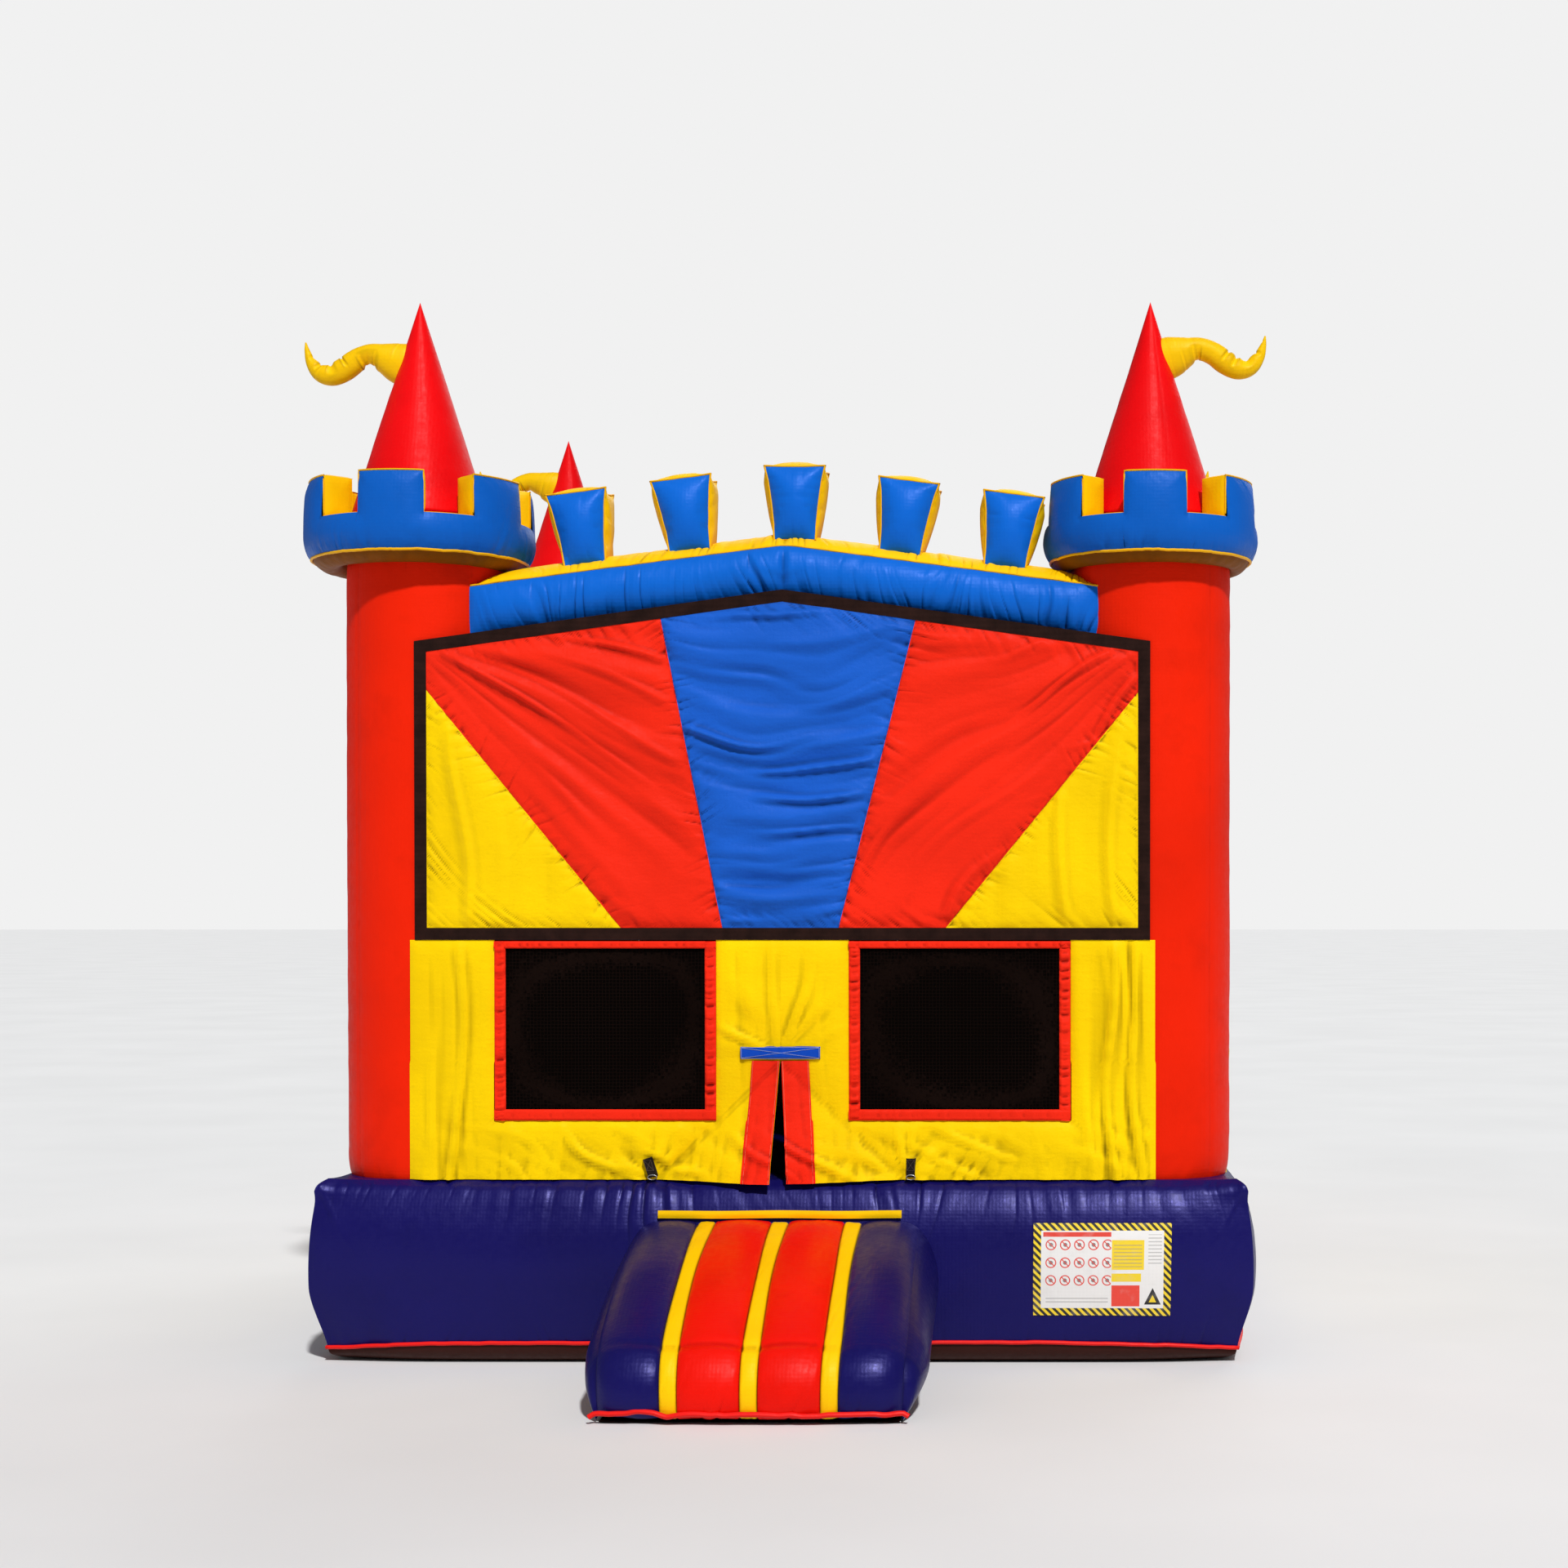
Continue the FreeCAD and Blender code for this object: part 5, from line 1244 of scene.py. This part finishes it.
# ---------------------------------------------------------------- ramp
def make_ramp():
    """Inflated wedge: one skin over the top and nose with sewn lanes, bulging cheeks, red lanes and yellow bands."""
    slope = arc3((-1.925, 0.590), (-2.45, 0.486), (-3.030, 0.246), 70)
    nose = arc3((-3.030, 0.246), (-3.108, 0.126), (-3.100, 0.018), 26)
    top = np.concatenate([slope, nose[1:]])
    step = np.linalg.norm(np.diff(top, axis=0), axis=1)
    run = np.concatenate([[0], np.cumsum(step)])[:, None]
    total = run[-1, 0]
    tangent = np.gradient(top, axis=0)
    tangent /= np.linalg.norm(tangent, axis=1, keepdims=True)
    out = np.stack([tangent[:, 1], -tangent[:, 0]], axis=1)
    half = 0.572
    bands = (-0.300, 0.0, 0.300)
    seams = [-0.336, -0.264, -0.036, 0.036, 0.264, 0.336]
    x = stops(-half, *seams, half, step=0.0045)[None, :]
    # seam lines wander a little: the bands are drawn narrow where the lanes swell
    swell_run = np.exp(-((run - 0.45 * total) / (0.22 * total)) ** 2)
    ax = np.abs(x)
    X = x
    for c in bands:
        off = x - c
        wide = -0.04 - 0.16 * swell_run - 0.06 * ease(run / total)
        X = X + off * wide * np.exp(-(off / 0.06) ** 4)
    d = np.full_like(X, 9.0)
    for s in seams:
        d = np.minimum(d, np.abs(x - s) + 0 * run)
    band = sum((np.abs(x - c) <= 0.0361).astype(int) for c in bands) > 0
    lane = (~band) & (ax < 0.3)
    lanes = np.where(lane, 0.020 * rise(d, 0.035), np.where(band, 0.004 * rise(d, 0.02), 0.022 * rise(d, 0.05)))
    along = rise(run, 0.05) * rise(total - run, 0.03)
    edge = half - ax
    shoulder = -0.050 * np.exp(-edge / 0.042) * (0.4 + 0.6 * along)
    puff = 0.012 * np.sin(PI * np.clip(run / total, 0, 1)) + lanes * along + shoulder
    puff = puff + 0.0045 * creases(x + 0 * run, run, 0.05, 0.08, 800) * rise(edge, 0.03)
    puff = puff + 0.0055 * creases(x + 0 * run, total - run, 0.055, 0.10, 801) * rise(edge, 0.03)
    puff = puff + 0.0026 * creases(run + 3 * x, d, 0.045, 0.03, 802) * rise(d, 0.004)
    puff = puff - 0.0055 * np.exp(-(d / 0.005) ** 2)
    dent = np.exp(-((run - 0.80 * total) / 0.018) ** 2) * (0.5 + 0.5 * noise(x / 0.2, 0, 803))
    puff = puff - 0.012 * dent * rise(edge, 0.05)
    waist = 1 - 0.022 * ease((run - 0.70 * total) / (0.3 * total))
    nose_in = 0.028 * (x / half) ** 2 * ease((run - 0.6 * total) / (0.35 * total))
    Y = top[:, :1] + out[:, :1] * puff + nose_in
    Z = top[:, 1:] + out[:, 1:] * puff
    P = stack(X * waist, Y, Z)
    skin = Skin()
    which = (band[:, 1:] & band[:, :-1])[0]
    lanes_col = (lane[:, 1:] | lane[:, :-1])[0] & ~which
    for slot, cols in ((0, ~(which | lanes_col)), (1, which), (2, lanes_col)):
        keep = np.zeros((P.shape[0] - 1, P.shape[1] - 1), bool)
        keep[:, cols] = True
        skin.grid(P, slot, keep=keep)
    # cheeks, from the top's side edges down to the ground, and the sole
    for side, column in ((-1, 0), (1, -1)):
        rim = P[:, column]
        foot = rim.copy()
        foot[:, 2] = 0.004
        foot[:, 1] = np.maximum(foot[:, 1], -3.100 + 0.028)
        v = np.linspace(0, 1, 30)[None, :, None]
        cheek = rim[:, None] * (1 - v) + foot[:, None] * v
        tall = np.maximum(rim[:, 2] - 0.004, 0)[:, None]
        vv = v[..., 0]
        belly = (0.062 if side < 0 else 0.080) * np.sin(PI * vv ** 0.75) * np.minimum(tall / 0.30, 1)
        belly = belly * rise(total - run, 0.08)
        belly = belly + 0.004 * creases(run + 9, (1 - vv) * tall, 0.05, 0.06, 810 + side) * np.sin(PI * vv)
        belly = belly + 0.004 * creases(run + 4, vv * tall, 0.05, 0.08, 812 + side) * np.sin(PI * vv)
        cheek[..., 0] += side * belly
        skin.grid(cheek, 0, flip=side > 0)
    sole = np.stack([stack(np.linspace(-0.55, 0.55, 20), y, 0.003) for y in (-3.075, -1.95)], axis=1)
    skin.grid(sole, 3, flip=True)
    ramp = skin.build("ramp_skin", [NAVY, YELLOW, RAMP_RED, UNDER])
    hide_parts("ramp_body", "ramp_lanes", "ramp_bands")
    trim = Skin()
    u = np.linspace(-0.5, 0.5, 160)[:, None]
    v = np.linspace(0, 1, 8)[None, :]
    y = -1.970 - 0.006 - 0.003 * np.sin(PI * v) - 0.0015 * noise(u / 0.06, 0, 820)
    trim.grid(stack(u, y, 0.604 + 0.032 * v + 0.003 * noise(u / 0.25, 0, 821)), 0)
    trim = trim.build("ramp_trim_tape", [YELLOW])


# ---------------------------------------------------------------- placard, sleeve and fittings
def placard_material():
    """Blank safety placard: hazard border, rows of empty pictogram rings, plain colour blocks, no lettering."""
    n = Nodes("placard_print")
    uv = n.add("ShaderNodeUVMap", uv_map="UVMap")
    parts = n.add("ShaderNodeSeparateXYZ")
    n.link(uv.outputs["UV"], parts.inputs[0])
    x, y = parts.outputs[0], parts.outputs[1]

    def inside(v, low, high):
        return n.times(n.above(v, low), n.below(v, high))

    def block(x0, x1, y0, y1):
        return n.times(inside(x, x0, x1), inside(y, y0, y1))

    white, black, grey = [0.80, 0.78, 0.76, 1], [0.012, 0.011, 0.012, 1], [0.22, 0.21, 0.21, 1]
    yellow, red = [0.86, 0.62, 0.02, 1], [0.72, 0.05, 0.03, 1]
    stripe = n.above(n.math("FRACT", n.times(n.plus(x, n.times(y, 0.667)), 19.0)), 0.5)
    border = n.mix(stripe, yellow, black)
    paint = n.mix(block(0.055, 0.945, 0.08, 0.92), border, white)
    paint = n.mix(block(0.565, 0.80, 0.50, 0.82), paint, yellow)
    paint = n.mix(block(0.565, 0.78, 0.37, 0.46), paint, yellow)
    paint = n.mix(block(0.565, 0.77, 0.10, 0.33), paint, shade(red, 1.1))
    paint = n.mix(block(0.07, 0.56, 0.855, 0.905), paint, red)
    lines = n.above(n.math("FRACT", n.times(y, 26.0)), 0.72)
    for area in (block(0.58, 0.785, 0.53, 0.79), block(0.09, 0.54, 0.12, 0.22), block(0.83, 0.93, 0.55, 0.88)):
        paint = n.mix(n.times(n.times(area, lines), 0.55), paint, grey)
    cell_x = n.minus(n.math("FRACT", n.times(n.minus(x, 0.075), 9.8)), 0.5)
    cell_y = n.minus(n.math("FRACT", n.times(n.minus(y, 0.27), 5.2)), 0.6)
    squares = n.plus(n.math("POWER", cell_x, 2.0), n.math("POWER", n.times(cell_y, 1.26), 2.0))
    radius = n.math("SQRT", squares)
    ring = inside(radius, 0.30, 0.38)
    dot = n.below(radius, 0.14)
    bar = n.math("ABSOLUTE", n.plus(cell_x, n.times(cell_y, 1.26)))
    bar = n.times(n.below(bar, 0.05), n.below(radius, 0.34))
    field = block(0.075, 0.560, 0.27, 0.845)
    paint = n.mix(n.times(field, dot), paint, grey)
    paint = n.mix(n.times(field, n.math("MAXIMUM", ring, bar)), paint, red)
    slope = n.minus(0.30, n.times(n.math("ABSOLUTE", n.minus(x, 0.865)), 2.9))
    sign = n.times(n.below(y, slope), n.above(y, 0.12))
    lower = n.times(n.below(y, n.minus(slope, 0.075)), n.above(y, 0.145))
    paint = n.mix(n.times(sign, block(0.78, 0.945, 0.08, 0.4)), paint, black)
    paint = n.mix(n.times(lower, block(0.80, 0.93, 0.08, 0.4)), paint, yellow)
    worn = n.spread(n.noise(22.0, 6.0), 0.0, 0.25, 0.5, 0.8)
    n.link(n.mix(worn, paint, [0.55, 0.52, 0.5, 1]), n.bsdf.inputs["Base Color"])
    n.link(n.spread(n.noise(40.0, 4.0), 0.38, 0.55), n.bsdf.inputs["Roughness"])
    n.bump([(n.noise(30.0, 4.0), 0.001, 0.3), (weave(n), 0.0004, 0.25)])
    return n.material


def make_placard():
    """The placard, sewn on and following the swell of the base."""
    low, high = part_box("rules_placard")
    u = np.linspace(0, 1, 60)[:, None]
    v = np.linspace(0, 1, 40)[None, :]
    x = low[0] + u * (high[0] - low[0])
    z = low[2] + v * (high[2] - low[2])
    curve = spline(BASE_KEYS, 200)
    r = np.interp(z, curve[:, 1], curve[:, 0])
    P = side_point(0, x, r + 0 * x, z + 0 * x)
    P[..., 1] -= 0.0045
    skin = Skin()
    skin.grid(P, 0)
    patch = skin.build("placard_patch", [placard_material()])
    layer = patch.data.uv_layers.new(name="UVMap")
    index = np.empty(len(patch.data.loops), int)
    patch.data.loops.foreach_get("vertex_index", index)
    flat = np.stack([np.repeat(u[:, 0], 40), np.tile(v[0], 60)], axis=1)
    layer.data.foreach_set("uv", flat[index].ravel())
    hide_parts("rules_placard")


def make_sleeve():
    """Blower sleeve: a soft tube with lengthwise folds, gathered under its strap."""
    low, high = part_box("blower_sleeve")
    cx, cz = (low[0] + high[0]) / 2, 0.156
    th = np.linspace(0, 2 * PI, 97)[:, None]
    y = np.concatenate([np.linspace(1.93, 2.74, 60), np.linspace(2.745, 2.898, 26)])[None, :]
    r = 0.1475 - 0.006 * np.exp(-((y - 2.81) / 0.03) ** 2)
    fold = noise(np.cos(th) * 2.2 + 5, np.sin(th) * 2.2 + y * 0.8, 900)
    fold = fold + 0.5 * noise(np.cos(th) * 6, np.sin(th) * 6 + y, 901)
    grip = np.exp(-((y - 2.81) / 0.05) ** 2)
    r = r + (0.0035 + 0.004 * grip) * np.clip(fold, -1.0, 0.5) * rise(y - 1.93, 0.1)
    skin = Skin()
    outer = stack(cx + r * np.sin(th), y, cz + r * np.cos(th))
    skin.grid(outer, 0)
    skin.grid(stack(cx + (r - 0.003) * np.sin(th), y, cz + (r - 0.003) * np.cos(th)), 0, flip=True)
    lip = stack(cx + 0.1475 * np.sin(th[:, 0]), 2.897, cz + 0.1475 * np.cos(th[:, 0]))
    skin.tube(lip[:-1], 0.003, 0, 6, closed=True)
    sleeve = skin.build("blower_sleeve_skin", [NAVY])
    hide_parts("blower_sleeve")


def paint_fittings():
    """Hard or flat CAD nodes that keep their shape get finished materials."""
    finish = {"hook_loop_border": TAPE, "floor_baffles": NAVY, "sleeve_strap": WEB_BLACK,
              "anchor_tabs": WEB_BLACK, "zip_tape": ZIP, "zip_slider": ZIP, "zip_cover": NAVY}
    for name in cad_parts:
        if name.startswith("anchor_ring"):
            finish[name] = ZINC
    for name, material in finish.items():
        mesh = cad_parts[name].data
        mesh.materials.clear()
        mesh.materials.append(material)


# ---------------------------------------------------------------- stage
def make_stage():
    """Pale floor, soft daylight and the camera."""
    bpy.ops.mesh.primitive_plane_add(size=400, location=(0, 0, -0.004))
    floor = bpy.context.object
    floor.name = "studio_floor"
    floor.data.materials.append(floor_material())

    world = bpy.data.worlds.new("studio")
    bpy.context.scene.world = world
    world.use_nodes = True
    tree = world.node_tree
    soft = tree.nodes["Background"]
    soft.inputs["Color"].default_value = (0.93, 0.96, 1.0, 1)
    soft.inputs["Strength"].default_value = 0.16
    plain = tree.nodes.new("ShaderNodeBackground")
    plain.inputs["Color"].default_value = (0.88, 0.88, 0.88, 1)
    ray = tree.nodes.new("ShaderNodeLightPath")
    pick = tree.nodes.new("ShaderNodeMixShader")
    tree.links.new(ray.outputs["Is Camera Ray"], pick.inputs[0])
    tree.links.new(soft.outputs[0], pick.inputs[1])
    tree.links.new(plain.outputs[0], pick.inputs[2])
    tree.links.new(pick.outputs[0], tree.nodes["World Output"].inputs["Surface"])

    def sun(name, azimuth, height, angle, power):
        """A distant soft light, azimuth in degrees to the right of the front, height above the horizon."""
        light = bpy.data.lights.new(name, "SUN")
        light.angle, light.energy = math.radians(angle), power
        obj = bpy.data.objects.new(name, light)
        bpy.context.scene.collection.objects.link(obj)
        obj.rotation_euler = (math.radians(90 - height), 0, math.radians(azimuth))

    sun("key", 17, 47, 3, 3.05)
    sun("fill", -50, 25, 60, 0.12)
    sun("back", 165, 35, 50, 0.8)

    camera = bpy.data.cameras.new("camera")
    obj = bpy.data.objects.new("camera", camera)
    bpy.context.scene.collection.objects.link(obj)
    obj.location = (1.016, -11.83, 1.882)
    obj.rotation_euler = (math.radians(90 - 0.77), 0.0, math.radians(0.16))
    camera.sensor_width = 36.0
    camera.lens = 55.26
    camera.shift_x = -0.151
    camera.shift_y = 0.099
    camera.clip_end = 200
    bpy.context.scene.camera = obj
    bpy.context.scene.view_settings.view_transform = "Standard"


# ---------------------------------------------------------------- the whole scene
# how far each turret is turned about its tower, in radians
TURRET_TURNS = {"front_left": -0.026, "front_right": 0.0, "rear_left": 0.14, "rear_right": -0.10}

make_stage()
make_base()
make_floor()
for number, (corner, turn_by) in enumerate(TURRET_TURNS.items()):
    make_tower(corner, 100 + 12 * number)
    make_turret(corner, turn_by, 150 + 12 * number)
    make_cone(corner, 180 + 5 * number)
make_pennants()
make_beam("beam_front", True, 0, 250)
make_beam("beam_rear", True, 2, 260)
make_beam("beam_right", False, 1, 270)
make_beam("beam_left", False, 3, 280)
make_blocks()
make_rays()
make_front_wall(-1)
make_front_wall(1)
make_windows()
for wall_name, quarter_turn in (("wall_right", 1), ("wall_rear", 2), ("wall_left", 3)):
    make_tall_wall(wall_name, quarter_turn, quarter_turn == 2, 440 + 10 * quarter_turn)
make_roof()
make_small_front()
make_ramp()
make_placard()
make_sleeve()
paint_fittings()
